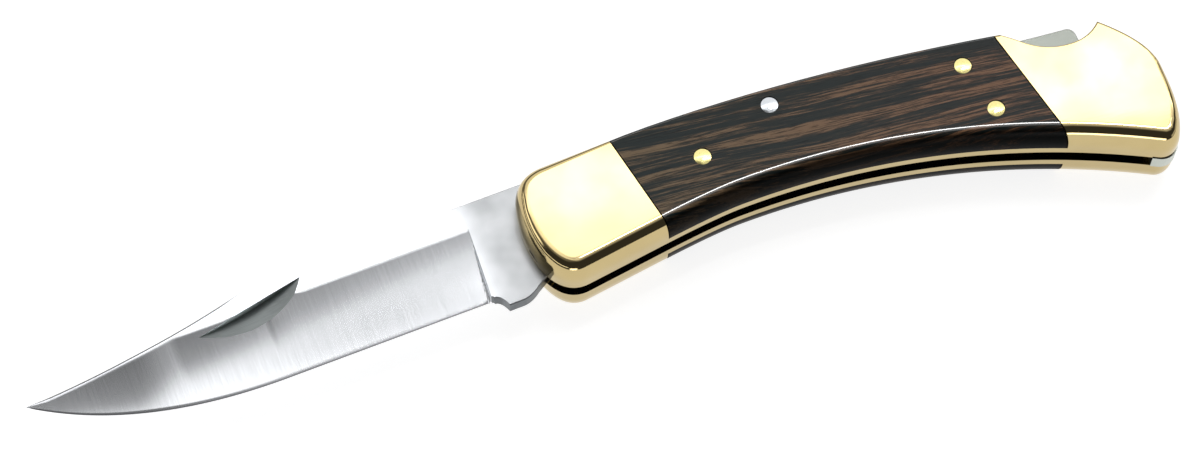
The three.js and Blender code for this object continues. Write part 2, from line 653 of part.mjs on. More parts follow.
// Where a point of the lock bar's underside goes when the bar is pressed all the way
function pressedHeight(x, y) {
  return y - (x - LOCK_PIN_X) * Math.sin(LOCK_BAR_TRAVEL);
}

const STEEL_BACK = backCurve(STEEL_PROUD);
const STEEL_REAR_Y = SPINE_Y - BACK_REAR_DROP;
const REAR_ARM_Y = STEEL_REAR_Y - REAR_ARM_THICKNESS;
const REAR_ARM_FRONT_X = LOCK_PIN_X + REAR_ARM_FROM_LOCK_PIN;
const REAR_ARM_WAIST_X = REAR_ARM_FRONT_X + REAR_ARM_CONTROL_LENGTH;
const REAR_ARM_UNDERSIDE = curveThrough(
  BACK_REAR_X, REAR_ARM_Y,
  REAR_ARM_WAIST_X, heightAt(STEEL_BACK, REAR_ARM_WAIST_X) - REAR_ARM_THICKNESS + REAR_ARM_WAIST,
  REAR_ARM_FRONT_X, heightAt(STEEL_BACK, REAR_ARM_FRONT_X) - REAR_ARM_THICKNESS,
);
const TAIL_TOP_Y = STEEL_REAR_Y - TAIL_DROP;
const TAIL_UNDERSIDE_Y = TAIL_TOP_Y - TAIL_THICKNESS;

// Lock bar from the side: the lug behind the tang, a boss round the pin, and the thumb tail
function lockBarShape() {
  const lugRearX = LUG_FRONT_X + LUG_LENGTH;
  const underArmY = SPINE_Y - FRONT_ARM_THICKNESS;
  const lugStart = Math.acos(LUG_FRONT_X / LUG_RADIUS);
  const lugEnd = Math.acos(lugRearX / LUG_RADIUS);
  const swellX = TAIL_END_X - TAIL_SWELL_LENGTH;
  const crownX = TAIL_END_X - TAIL_CROWN_LENGTH;
  const shape = new THREE.Shape();
  shape.moveTo(LUG_FRONT_X, SPINE_Y);
  shape.lineTo(LUG_FRONT_X, LUG_RADIUS * Math.sin(lugStart));
  shape.absarc(0, 0, LUG_RADIUS, lugStart, lugEnd, true);
  shape.lineTo(lugRearX + LUG_ROOT_FILLET, underArmY);
  shape.lineTo(LUG_FRONT_X + FRONT_ARM_LENGTH, underArmY);
  shape.absarc(
    LOCK_PIN_X, LOCK_PIN_Y, LOCK_BOSS_RADIUS,
    Math.PI - BOSS_BLEND_ANGLE, 2 * Math.PI + BOSS_BLEND_ANGLE, false,
  );
  for (const point of REAR_ARM_UNDERSIDE.getPoints(CURVE_STEPS).reverse()) {
    shape.lineTo(point.x, point.y);
  }
  shape.quadraticCurveTo(
    swellX, TAIL_UNDERSIDE_Y + TAIL_SWELL_RISE,
    TAIL_END_X - TAIL_LOWER_ROUND, TAIL_UNDERSIDE_Y,
  );
  shape.quadraticCurveTo(TAIL_END_X, TAIL_UNDERSIDE_Y, TAIL_END_X, TAIL_UNDERSIDE_Y + TAIL_LOWER_ROUND);
  shape.lineTo(TAIL_END_X, TAIL_TOP_Y - TAIL_UPPER_ROUND);
  shape.quadraticCurveTo(TAIL_END_X, TAIL_TOP_Y, TAIL_END_X - TAIL_UPPER_ROUND, TAIL_TOP_Y);
  shape.quadraticCurveTo(crownX, TAIL_TOP_Y + TAIL_CROWN_RISE, BACK_REAR_X, STEEL_REAR_Y);
  for (const point of STEEL_BACK.getPoints(CURVE_STEPS).reverse().slice(1)) {
    shape.lineTo(point.x, point.y);
  }
  return shape;
}

function lockBar() {
  const half = BLADE_THICKNESS / 2;
  const hole = rod(PIN_RADIUS + PIN_FIT, LOCK_PIN_X, LOCK_PIN_Y, -half - CUT_PAST, half + CUT_PAST);
  return prism(lockBarShape(), -half, half).subtract(hole);
}

const SPACER_TOP_Y = pressedHeight(SPACER_FRONT_X, REAR_ARM_Y) - SPACER_TOP_CLEARANCE;
const SPRING_ROOT_Y = SPACER_TOP_Y - SPRING_ROOT_BELOW_TOP;
const SPRING_ROOT_X = SPACER_FRONT_X + SPRING_ROOT_LENGTH;

// The back spacer fills the butt end of the slot. It follows the swing of the blade's tip
// inside, passes over the closed edge, and is dished under the tail of the pressed lock bar.
function spacerShape() {
  const noseY = SPACER_TOP_Y - SPACER_NOSE_DROP;
  const swingTop = Math.asin(SWING_CUT_TOP_Y / TIP_SWING);
  const pocketX = TAIL_END_X + TAIL_POCKET_GAP;
  const pocketY = pressedHeight(TAIL_END_X, TAIL_UNDERSIDE_Y) - SPACER_TOP_CLEARANCE;
  const shape = new THREE.Shape();
  shape.moveTo(SPACER_FRONT_X, SPACER_TOP_Y);
  shape.lineTo(SPACER_FRONT_X, noseY);
  shape.quadraticCurveTo(
    SPACER_FRONT_X + SPACER_NOSE_LENGTH, noseY - SPACER_NOSE_FALL,
    TIP_SWING * Math.cos(swingTop), SWING_CUT_TOP_Y,
  );
  shape.absarc(0, 0, TIP_SWING, swingTop, swingTop - SWING_CUT_ANGLE, true);
  shape.lineTo(BUTT_X + BEYOND, -BEYOND);
  shape.lineTo(BUTT_X + BEYOND, BEYOND);
  shape.lineTo(pocketX, BEYOND);
  shape.lineTo(pocketX, pocketY);
  shape.quadraticCurveTo(pocketX - TAIL_POCKET_LENGTH, pocketY, SPACER_FRONT_X, SPACER_TOP_Y);
  return shape;
}

function backSpacer() {
  const profile = prism(spacerShape(), -SLOT_HALF - CUT_PAST, SLOT_HALF + CUT_PAST, 2 * CURVE_STEPS);
  let spacer = handlePlate(-SLOT_HALF, SLOT_HALF).intersect(profile);
  for (const pin of SPACER_PINS) {
    spacer = spacer.subtract(rod(PIN_RADIUS + PIN_FIT, pin.x, pin.y, -HANDLE_HALF, HANDLE_HALF));
  }
  const slotLength = SPRING_ROOT_LENGTH + SPRING_FIT + CUT_PAST;
  const slot = new THREE.BoxGeometry(slotLength, SPRING_THICKNESS + 2 * SPRING_FIT, 2 * SLOT_WIDTH);
  slot.translate(SPACER_FRONT_X - CUT_PAST + slotLength / 2, SPRING_ROOT_Y, 0);
  return spacer.subtract(solidOf(slot));
}

// The leaf spring leaves its slot level and bends up to bear behind the lock bar's boss
function leafSpring() {
  const tipX = LOCK_PIN_X + SPRING_TIP_FROM_LOCK_PIN;
  const underside = pressedHeight(tipX, heightAt(REAR_ARM_UNDERSIDE, tipX));
  const tipY = underside - SPRING_TIP_CLEARANCE - SPRING_THICKNESS / 2;
  const bend = curveThrough(
    SPACER_FRONT_X, SPRING_ROOT_Y,
    SPACER_FRONT_X - SPRING_BEND_LENGTH, SPRING_ROOT_Y,
    tipX, tipY,
  );
  const steps = 2 * CURVE_STEPS;
  const upper = [];
  const lower = [];
  for (let step = 0; step <= steps; step += 1) {
    const point = bend.getPoint(step / steps);
    const along = bend.getTangent(step / steps);
    const across = new THREE.Vector2(-along.y, along.x).multiplyScalar(SPRING_THICKNESS / 2);
    upper.push(point.clone().sub(across));
    lower.push(point.clone().add(across));
  }
  const outline = [
    new THREE.Vector2(SPRING_ROOT_X, SPRING_ROOT_Y + SPRING_THICKNESS / 2),
    ...upper,
    ...lower.reverse(),
    new THREE.Vector2(SPRING_ROOT_X, SPRING_ROOT_Y - SPRING_THICKNESS / 2),
  ];
  return prism(new THREE.Shape(outline), -SPRING_WIDTH / 2, SPRING_WIDTH / 2);
}

function addMesh(group, name, geometry, finish, x = 0, y = 0) {
  const mesh = new THREE.Mesh(geometry, new THREE.MeshStandardMaterial(finish));
  mesh.name = name;
  mesh.position.set(x, y, 0);
  group.add(mesh);
}

// Each layer of the handle twice: on the upper side, and mirrored on the lower
function addPair(group, name, solid, finish, x = 0, y = 0) {
  const geometry = geometryOf(solid);
  addMesh(group, `left_${name}`, geometry, finish, x, y);
  addMesh(group, `right_${name}`, mirrored(geometry), finish, x, y);
}

function handle() {
  const group = new THREE.Group();
  addPair(group, 'liner', liner(), POLISHED_BRASS);
  addPair(group, 'front_bolster', frontBolster(), POLISHED_BRASS);
  addPair(group, 'rear_bolster', rearBolster(), POLISHED_BRASS);
  addPair(group, 'scale', scale(), DARK_STRIPED_WOOD);
  for (const pin of SCALE_PINS) {
    addPair(group, pin.name, domedPin(SLOT_HALF, HANDLE_HALF, false), POLISHED_BRASS, pin.x, pin.y);
  }
  const pivotPin = rod(PIVOT_PIN_RADIUS, 0, 0, -BLIND_TOP, BLIND_TOP);
  addMesh(group, 'pivot_pin', geometryOf(pivotPin), POLISHED_BRASS);
  addMesh(group, 'pivot_bushing', geometryOf(pivotBushing()), SATIN_STEEL);
  const lockPin = domedPin(-HANDLE_HALF, HANDLE_HALF, true);
  addMesh(group, 'lock_bar_pin', geometryOf(lockPin), SATIN_STEEL, LOCK_PIN_X, LOCK_PIN_Y);
  addMesh(group, 'back_spacer', geometryOf(backSpacer()), SATIN_STEEL);
  addMesh(group, 'leaf_spring', geometryOf(leafSpring()), SATIN_STEEL);
  for (const pin of SPACER_PINS) {
    const spacerPin = rod(PIN_RADIUS, 0, 0, -BLIND_TOP, BLIND_TOP);
    addMesh(group, pin.name, geometryOf(spacerPin), POLISHED_BRASS, pin.x, pin.y);
  }
  return group;
}

const knife = new THREE.Group();
knife.add(handle());
addMesh(knife, 'blade', geometryOf(blade()), SATIN_BLADE_STEEL);
addMesh(knife, 'lock_bar', geometryOf(lockBar()), SATIN_STEEL);
knife.position.z = HANDLE_HALF;

export default knife;
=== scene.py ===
import math

import bmesh
import bpy
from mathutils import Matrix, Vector


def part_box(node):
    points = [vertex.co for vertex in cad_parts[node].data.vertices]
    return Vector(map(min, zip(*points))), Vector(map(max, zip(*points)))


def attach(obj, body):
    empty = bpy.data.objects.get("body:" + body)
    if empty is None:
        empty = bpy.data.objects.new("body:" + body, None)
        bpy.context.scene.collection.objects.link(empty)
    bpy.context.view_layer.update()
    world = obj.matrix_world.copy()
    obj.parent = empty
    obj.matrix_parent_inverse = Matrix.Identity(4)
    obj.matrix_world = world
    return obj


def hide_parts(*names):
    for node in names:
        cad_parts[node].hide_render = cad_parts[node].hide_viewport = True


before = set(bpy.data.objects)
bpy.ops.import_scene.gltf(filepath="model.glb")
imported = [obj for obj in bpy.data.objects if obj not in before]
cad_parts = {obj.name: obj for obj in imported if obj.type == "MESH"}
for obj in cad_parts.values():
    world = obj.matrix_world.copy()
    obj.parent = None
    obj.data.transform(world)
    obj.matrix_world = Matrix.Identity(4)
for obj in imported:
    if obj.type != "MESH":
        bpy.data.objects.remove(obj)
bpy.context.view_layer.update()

# Two liners of rolled brass plate are the knife's frame, one on each side of the blade slot.
# They are blanked to the handle's outline, and their edges are polished together with the
# bolsters, so only a bright brass line shows between the wood and the slot.

MM = 0.001
SLOT_WIDTH = 3.25
LINER_THICKNESS = 1.7
COVER_THICKNESS = 5.2
LINER_TOP = SLOT_WIDTH / 2 + LINER_THICKNESS
HANDLE_HALF = LINER_TOP + COVER_THICKNESS

BLADE_REACH = 105.6
STEEL_BACK_Y = 11.9
TIP_DROP = 7.15
TIP_CLEARANCE = 0.4
BUTT_WALL = 5.1

HANDLE_FRONT_X = -11.5
FRONT_CORNER_LENGTH = 7.9
FRONT_CORNER_CONTROL = 2.3
FRONT_CORNER_HEIGHT = 5.0
FRONT_FACE_BULGE = 0.85
FRONT_TOE_LENGTH = 5.0
FRONT_TOE_HEIGHT = 5.9
BACK_Y = 11.5
BACK_STRAIGHT_END_X = 12.5
BACK_CONTROL_X = 46.0
BACK_REAR_DROP = 7.0
BACK_REAR_SETBACK = 26.8
BELLY_TOP_X = 28.5
BELLY_TOP_Y = -8.1
BELLY_DROP = 19.7
FRONT_BELLY_X = -3.4
FRONT_BELLY_Y = -11.55
BELLY_TURN_X = 23.4
BELLY_TURN_LEAD = 10.8
TOE_LENGTH = 7.6
TOE_RADIUS = 3.2
BUTT_START_SLOPE = math.radians(54)
BUTT_FULLEST_Y = -13.0
BUTT_TRIM = 0.4
BUTT_UPPER_LEAD = 3.9
HORN_Y = -0.1
HORN_SETBACK = 7.7
HORN_LEAD_LENGTH = 3.0
HORN_LEAD_HEIGHT = 4.4
HORN_BLANK_SETBACK = 9.8
HORN_BLANK_RISE = 2.0
BLANK_TOP_SETBACK = 10.9
BLANK_TOP_RISE = 15.1

HORN_HOOK = 2.6
SCOOP_BOTTOM_SETBACK = 13.9
SCOOP_DEPTH = 2.7
SCOOP_SHOULDER_SETBACK = 22.9
SCOOP_SHOULDER_RISE = 1.0
SCOOP_RAMP_LENGTH = 3.7
SCOOP_BLEND_LENGTH = 3.0
SCOOP_RUNOUT_LENGTH = 5.7
SCOOP_RUNOUT_RISE = 0.9
HORN_CUT_CLEARANCE = 0.08
HORN_CUT_LEAD = 0.1
WELL_CLEAR = 40

butt_x = math.hypot(BLADE_REACH, STEEL_BACK_Y - TIP_DROP) + TIP_CLEARANCE + BUTT_WALL
butt_end = butt_x - BUTT_TRIM
horn_x = butt_x - HORN_SETBACK
back_rear_x = butt_x - BACK_REAR_SETBACK
back_rear_y = BACK_Y - BACK_REAR_DROP


def deselect():
    if bpy.context.object and bpy.context.object.mode != "OBJECT":
        bpy.ops.object.mode_set(mode="OBJECT")
    bpy.ops.object.select_all(action="DESELECT")


def select_only(piece):
    deselect()
    piece.select_set(True)
    bpy.context.view_layer.objects.active = piece


def flat_outline(name, start, steps, z):
    """A closed flat face at height z. A step is an end point (x, y) for a straight line,
    (control, end) for a parabola, or (control, control, end) for a free curve."""
    deselect()
    bpy.ops.curve.primitive_bezier_curve_add()
    piece = bpy.context.object
    piece.name = name
    piece.data.dimensions = "2D"
    piece.data.fill_mode = "NONE"
    piece.data.resolution_u = 14
    spline = piece.data.splines[0]
    spline.use_cyclic_u = True
    spline.bezier_points.add(len(steps) - 1 - (len(spline.bezier_points) - 1))
    corners = [Vector(start)] + [Vector(step if isinstance(step[0], (int, float)) else step[-1])
                                 for step in steps[:-1]]
    for point, corner in zip(spline.bezier_points, corners):
        point.handle_left_type = point.handle_right_type = "FREE"
        point.co = point.handle_left = point.handle_right = (*corner * MM, 0)
    count = len(corners)
    for i, step in enumerate(steps):
        here, there = spline.bezier_points[i], spline.bezier_points[(i + 1) % count]
        if isinstance(step[0], (int, float)):
            here.handle_right_type = there.handle_left_type = "VECTOR"
            continue
        first = corners[i]
        last = Vector(step[-1])
        if len(step) == 2:
            control = Vector(step[0])
            near, far = first.lerp(control, 2 / 3), last.lerp(control, 2 / 3)
        else:
            near, far = Vector(step[0]), Vector(step[1])
        here.handle_right = (*near * MM, 0)
        there.handle_left = (*far * MM, 0)
    bpy.ops.object.convert(target="MESH")
    piece = bpy.context.object
    bpy.ops.object.mode_set(mode="EDIT")
    bpy.ops.mesh.select_all(action="SELECT")
    bpy.ops.mesh.remove_doubles(threshold=0.002 * MM)
    bpy.ops.mesh.edge_face_add()
    bpy.ops.mesh.select_all(action="SELECT")
    bpy.ops.transform.translate(value=(0, 0, z * MM))
    bpy.ops.mesh.normals_make_consistent(inside=False)
    bpy.ops.object.mode_set(mode="OBJECT")
    if piece.data.polygons[0].normal.z < 0:
        piece.data.flip_normals()
    return piece


def arc_steps(centre, radius, start_angle, end_angle, pieces=1):
    """Free curves that follow a circle's arc."""
    steps = []
    sweep = (end_angle - start_angle) / pieces
    reach = radius * 4 / 3 * math.tan(sweep / 4)
    for piece in range(pieces):
        first, last = start_angle + piece * sweep, start_angle + (piece + 1) * sweep
        begin = Vector((centre[0] + radius * math.cos(first), centre[1] + radius * math.sin(first)))
        finish = Vector((centre[0] + radius * math.cos(last), centre[1] + radius * math.sin(last)))
        near = begin + reach * Vector((-math.sin(first), math.cos(first)))
        far = finish - reach * Vector((-math.sin(last), math.cos(last)))
        steps.append((near, far, finish))
    return steps


def handle_outline():
    """The handle from the side, before the thumb scoop and the horn are cut."""
    slope = (BELLY_TOP_Y - FRONT_BELLY_Y) / (BELLY_TURN_X - FRONT_BELLY_X)
    straight_end = (BELLY_TURN_X - BELLY_TURN_LEAD, BELLY_TOP_Y - BELLY_TURN_LEAD * slope)
    run = butt_x - TOE_LENGTH - BELLY_TOP_X
    radius = (run ** 2 + BELLY_DROP ** 2) / (2 * BELLY_DROP)
    arc_end = math.acos(run / radius)
    toe = (butt_x - TOE_LENGTH + TOE_RADIUS * math.cos(arc_end),
           BELLY_TOP_Y - BELLY_DROP + TOE_RADIUS * math.sin(arc_end))
    toe_end = (toe[0] + TOE_RADIUS * math.sin(BUTT_START_SLOPE),
               toe[1] - TOE_RADIUS * math.cos(BUTT_START_SLOPE))
    butt_control = (butt_end, toe_end[1] + (butt_end - toe_end[0]) * math.tan(BUTT_START_SLOPE))
    face_top, face_foot = BACK_Y - FRONT_CORNER_HEIGHT, FRONT_BELLY_Y + FRONT_TOE_HEIGHT
    start = (HANDLE_FRONT_X + FRONT_CORNER_LENGTH, BACK_Y)
    steps = [
        ((HANDLE_FRONT_X + FRONT_CORNER_CONTROL, BACK_Y),
         (HANDLE_FRONT_X + FRONT_FACE_BULGE, face_top)),
        ((HANDLE_FRONT_X - FRONT_FACE_BULGE, (face_top + face_foot) / 2),
         (HANDLE_FRONT_X + FRONT_FACE_BULGE, face_foot)),
        ((FRONT_BELLY_X - FRONT_TOE_LENGTH, FRONT_BELLY_Y - FRONT_TOE_LENGTH * slope),
         (FRONT_BELLY_X, FRONT_BELLY_Y)),
        straight_end,
        ((BELLY_TURN_X, BELLY_TOP_Y), (BELLY_TOP_X, BELLY_TOP_Y)),
        *arc_steps((BELLY_TOP_X, BELLY_TOP_Y - radius), radius, math.pi / 2, arc_end, 2),
        *arc_steps(toe, TOE_RADIUS, arc_end - math.pi, BUTT_START_SLOPE - math.pi / 2),
        (butt_control, (butt_end, BUTT_FULLEST_Y)),
        ((butt_end, BUTT_FULLEST_Y + BUTT_UPPER_LEAD),
         (butt_end - HORN_LEAD_LENGTH, HORN_Y - HORN_LEAD_HEIGHT), (horn_x, HORN_Y)),
        (butt_x - HORN_BLANK_SETBACK, HORN_Y + HORN_BLANK_RISE),
        (butt_x - BLANK_TOP_SETBACK, HORN_Y + BLANK_TOP_RISE),
        (back_rear_x, HORN_Y + BLANK_TOP_RISE),
        (back_rear_x, back_rear_y),
        ((BACK_CONTROL_X, BACK_Y), (BACK_STRAIGHT_END_X, BACK_Y)),
        start,
    ]
    return start, steps


def horn_outline():
    """What the thumb scoop and the horn leave of the handle, clear of the outline elsewhere."""
    bottom_y = HORN_Y - SCOOP_DEPTH
    cut_y = HORN_Y + HORN_CUT_CLEARANCE
    shoulder_x, shoulder_y = butt_x - SCOOP_SHOULDER_SETBACK, HORN_Y + SCOOP_SHOULDER_RISE
    runout_x = shoulder_x - SCOOP_RUNOUT_LENGTH
    start = (-WELL_CLEAR, WELL_CLEAR)
    steps = [
        (-WELL_CLEAR, -2 * WELL_CLEAR),
        (butt_x + WELL_CLEAR, -2 * WELL_CLEAR),
        (butt_x + WELL_CLEAR, cut_y),
        (horn_x + HORN_CUT_LEAD, cut_y),
        ((horn_x - HORN_HOOK, bottom_y), (butt_x - SCOOP_BOTTOM_SETBACK, bottom_y)),
        ((shoulder_x + SCOOP_RAMP_LENGTH, bottom_y), (shoulder_x, shoulder_y)),
        ((shoulder_x - SCOOP_BLEND_LENGTH, shoulder_y + SCOOP_BLEND_LENGTH),
         (runout_x, back_rear_y + SCOOP_RUNOUT_RISE)),
        (runout_x - SCOOP_BLEND_LENGTH, WELL_CLEAR),
        start,
    ]
    return start, steps


def pick_faces(piece, wanted):
    """Select the faces that pass a test, and go on in edit mode."""
    bpy.ops.object.mode_set(mode="OBJECT")
    mesh = piece.data
    for part in (mesh.vertices, mesh.edges):
        part.foreach_set("select", [False] * len(part))
    mesh.polygons.foreach_set("select", [wanted(face) for face in mesh.polygons])
    bpy.context.tool_settings.mesh_select_mode = (False, False, True)
    bpy.ops.object.mode_set(mode="EDIT")


def raise_face(piece, height, rings=(), rings_below=()):
    """Extrude a flat face upwards, then round its upper and lower rims: each ring gives how
    far it is set in and how far out along the face's own direction."""
    select_only(piece)
    bpy.ops.object.mode_set(mode="EDIT")
    bpy.ops.mesh.select_all(action="SELECT")
    bpy.ops.mesh.extrude_region_move(TRANSFORM_OT_translate={"value": (0, 0, height * MM)})
    for set_in, out in rings:
        bpy.ops.mesh.inset(thickness=set_in * MM, depth=out * MM, use_even_offset=True)
    bpy.ops.mesh.select_all(action="SELECT")
    bpy.ops.mesh.normals_make_consistent(inside=False)
    if rings_below:
        pick_faces(piece, lambda face: face.normal.z < -0.99)
        for set_in, out in rings_below:
            bpy.ops.mesh.inset(thickness=set_in * MM, depth=out * MM, use_even_offset=True)
    bpy.ops.object.mode_set(mode="OBJECT")


def rim(width, height, count, first=90.0, last=0.0):
    """The rings of a rim rounded as an ellipse, from its wall (90) up towards its flat (0)."""
    rings = []
    for i in range(count):
        low = math.radians(first + (last - first) * i / count)
        high = math.radians(first + (last - first) * (i + 1) / count)
        rings.append((width * (math.sin(low) - math.sin(high)),
                      height * (math.cos(high) - math.cos(low))))
    return rings


def combine(piece, tool, operation):
    """Cut, trim or join a piece with a tool, and throw the tool away."""
    select_only(piece)
    modifier = piece.modifiers.new("cut", "BOOLEAN")
    modifier.operation = operation
    modifier.solver = "EXACT"
    modifier.object = tool
    modifier.material_mode = "INDEX"
    bpy.ops.object.modifier_apply(modifier=modifier.name)
    bpy.data.objects.remove(tool)


def smooth(piece, angle=32):
    """Smooth shading up to an angle, with the flats kept flat right up to their rims."""
    select_only(piece)
    bpy.ops.object.shade_smooth_by_angle(angle=math.radians(angle))
    modifier = piece.modifiers.new("flats", "WEIGHTED_NORMAL")
    modifier.keep_sharp = True
    modifier.weight = 100
    bpy.ops.object.modifier_apply(modifier=modifier.name)


def dress(piece, node, body, material):
    """Give a finished piece its material, unless it has several, and its place in the frame."""
    if material:
        piece.data.materials.append(material)
    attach(piece, body)
    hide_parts(node)


def other_side(piece, name):
    """The mirror image of a left-hand piece on the right-hand side of the slot."""
    select_only(piece)
    bpy.ops.object.duplicate()
    copy = bpy.context.object
    copy.name = name
    bpy.ops.object.mode_set(mode="EDIT")
    bpy.ops.mesh.select_all(action="SELECT")
    bpy.ops.transform.resize(value=(1, 1, -1), center_override=(0, 0, HANDLE_HALF * MM))
    bpy.ops.mesh.normals_make_consistent(inside=False)
    bpy.ops.object.mode_set(mode="OBJECT")
    return copy


def set_inputs(tree, node, inputs):
    """Set a node's sockets: each gets a value, or a link from another node's output."""
    for key, value in inputs.items():
        if isinstance(value, bpy.types.NodeSocket):
            tree.links.new(value, node.inputs[key])
        else:
            node.inputs[key].default_value = value


def add_node(tree, kind, inputs=None, **settings):
    """One node with its settings and its sockets' values and links."""
    node = tree.nodes.new(kind)
    for key, value in settings.items():
        setattr(node, key, value)
    set_inputs(tree, node, inputs or {})
    return node


def repeats(*sizes):
    """A pattern's scale in repeats a metre, for features of these sizes in millimetres."""
    scales = tuple(1 / (size * MM) for size in sizes)
    return scales if len(scales) > 1 else scales[0]


def sheet_colour(code):
    """An sRGB hex colour as the linear colour that a shader reads."""
    channels = [int(code[i:i + 2], 16) / 255 for i in (0, 2, 4)]
    return (*[c / 12.92 if c <= 0.04045 else ((c + 0.055) / 1.055) ** 2.4 for c in channels], 1)


def new_material(name):
    material = bpy.data.materials.new(name)
    material.use_nodes = True
    return material, material.node_tree, material.node_tree.nodes["Principled BSDF"]


# Cartridge brass, buffed on a wheel to a mirror. Close up the buffing leaves long fine swirls
# and soft waves in the metal, and a haze that changes from place to place. The swirls are drawn
# several times coarser than real ones, which wouldn't show.
polished_brass, tree, shader = new_material("brass_mirror_polished")
place = add_node(tree, "ShaderNodeTexCoord").outputs["Object"]
haze = add_node(tree, "ShaderNodeTexNoise", {"Vector": place, "Scale": repeats(11.11), "Detail": 3.0})
warm = add_node(tree, "ShaderNodeMix",
                {"Factor": haze.outputs["Fac"],
                 "A": sheet_colour("c8b586"), "B": sheet_colour("baa674")}, data_type="RGBA")
waves = add_node(tree, "ShaderNodeTexNoise", {"Vector": place, "Scale": repeats(8.333), "Detail": 0.0})
wave_bump = add_node(tree, "ShaderNodeBump",
                     {"Strength": 0.35, "Distance": 0.00006, "Height": waves.outputs["Fac"]})
swirl_scale = add_node(tree, "ShaderNodeMapping",
                       {"Vector": place, "Scale": repeats(2.857, 0.3846, 0.3846)})
swirls = add_node(tree, "ShaderNodeTexNoise",
                  {"Vector": swirl_scale.outputs["Vector"], "Scale": 1.0, "Detail": 2.0})
swirl_bump = add_node(tree, "ShaderNodeBump",
                      {"Strength": 0.02, "Distance": 0.00002, "Height": swirls.outputs["Fac"],
                       "Normal": wave_bump.outputs["Normal"]})
gloss = add_node(tree, "ShaderNodeMapRange",
                 {"Value": haze.outputs["Fac"], "From Min": 0.3, "From Max": 0.7,
                  "To Min": 0.05, "To Max": 0.11})
set_inputs(tree, shader, {"Base Color": warm.outputs["Result"],
                          "Roughness": gloss.outputs["Result"],
                          "Normal": swirl_bump.outputs["Normal"], "Metallic": 1.0})

left_liner = flat_outline("left_liner_plate", *handle_outline(), HANDLE_HALF + SLOT_WIDTH / 2)
raise_face(left_liner, LINER_THICKNESS)
horn_tool = flat_outline("horn_tool", *horn_outline(), HANDLE_HALF)
raise_face(horn_tool, HANDLE_HALF)
combine(left_liner, horn_tool, "INTERSECT")
smooth(left_liner)
right_liner = other_side(left_liner, "right_liner_plate")
dress(left_liner, "left_liner", "handle", polished_brass)
dress(right_liner, "right_liner", "handle", polished_brass)

# Four cast brass bolsters cap the ends of the handle, two on each side. Each pair and the scale
# between them are ground to one outline in place; their outer rims are then rounded over on a
# belt and the whole is buffed. The rivets through them are peened and polished away.
FRONT_JOINT_X = 11.4
REAR_JOINT_SETBACK = 26.5
rear_joint_x = butt_x - REAR_JOINT_SETBACK
JOINT_TILT = math.radians(10)
JOINT_GAP = 0.25
RIM_WIDTH = 2.45
CROWN_RADIUS = 6.0
CROWN_ANGLE = 8.0
RIM_HEIGHT = 4.7857
GROUND_BELOW_FULL = 0.002
RIM_END = math.degrees(math.atan(math.tan(math.radians(CROWN_ANGLE)) * RIM_WIDTH / RIM_HEIGHT))
cover_rings = (rim(RIM_WIDTH, RIM_HEIGHT, 14, 90, RIM_END)
               + rim(CROWN_RADIUS, CROWN_RADIUS, 6, CROWN_ANGLE, 0))
wall_height = COVER_THICKNESS - GROUND_BELOW_FULL - sum(out for set_in, out in cover_rings)


def trim(piece, x, keep_front):
    """Cut a piece along a joint line that crosses the pivot's level at x."""
    select_only(piece)
    bpy.ops.object.mode_set(mode="EDIT")
    bpy.ops.mesh.select_all(action="SELECT")
    bpy.ops.mesh.bisect(plane_co=(x * MM, 0, 0), use_fill=True,
                        plane_no=(math.cos(JOINT_TILT), math.sin(JOINT_TILT), 0),
                        clear_outer=keep_front, clear_inner=not keep_front)
    bpy.ops.object.mode_set(mode="OBJECT")


def copy_of(piece, name):
    select_only(piece)
    bpy.ops.object.duplicate()
    bpy.context.object.name = name
    return bpy.context.object


def nearest_on(outline, spot):
    """The point of a closed outline that is nearest to a spot."""
    best = None
    for start, end in zip(outline, outline[1:] + outline[:1]):
        along = end - start
        share = max(0.0, min(1.0, (spot - start).dot(along) / along.length_squared))
        point = start + along * share
        if best is None or (point - spot).length_squared < (best - spot).length_squared:
            best = point
    return best


cover = flat_outline("cover", *handle_outline(), HANDLE_HALF + LINER_TOP)
outline = [cover.data.vertices[i].co.xy for i in cover.data.polygons[0].vertices]
raise_face(cover, wall_height, cover_rings)
# the belt takes most from the belly and the front, and only breaks the back's and butt's edges:
# there the rim keeps a share of its full width, which grows again towards the front end
BACK_WAY = Vector((0.2, 0.98))
BACK_TURN, TURN_SPAN = 0.75, 1.45
BACK_RIM_SHARE, FRONT_RIM_SHARE = 0.34, 0.4
FRONT_RIM_END_X, FRONT_RIM_BLEND = 14, 20
for vertex in cover.data.vertices:
    spot = vertex.co.xy
    nearest = nearest_on(outline, spot)
    inwards = spot - nearest
    if inwards.length > 0.001 * MM:
        turned = (inwards.normalized().dot(BACK_WAY) + BACK_TURN) / TURN_SPAN
        turned = min(1.0, max(0.0, turned))
        forward = min(1.0, max(0.0, (FRONT_RIM_END_X - spot.x / MM) / FRONT_RIM_BLEND))
        least = BACK_RIM_SHARE + FRONT_RIM_SHARE * forward
        vertex.co.xy = nearest + inwards * (least + (1 - least) * turned ** 2 * (3 - 2 * turned))
SCOOP_ROUND = 0.4
horn_tool = flat_outline("horn_tool", *horn_outline(), HANDLE_HALF)
raise_face(horn_tool, HANDLE_HALF - SCOOP_ROUND + 0.01, rim(SCOOP_ROUND, SCOOP_ROUND, 5))
combine(cover, horn_tool, "INTERSECT")
front_bolster = copy_of(cover, "left_front_bolster_casting")
trim(front_bolster, FRONT_JOINT_X, True)
rear_bolster = copy_of(cover, "left_rear_bolster_casting")
trim(rear_bolster, rear_joint_x, False)
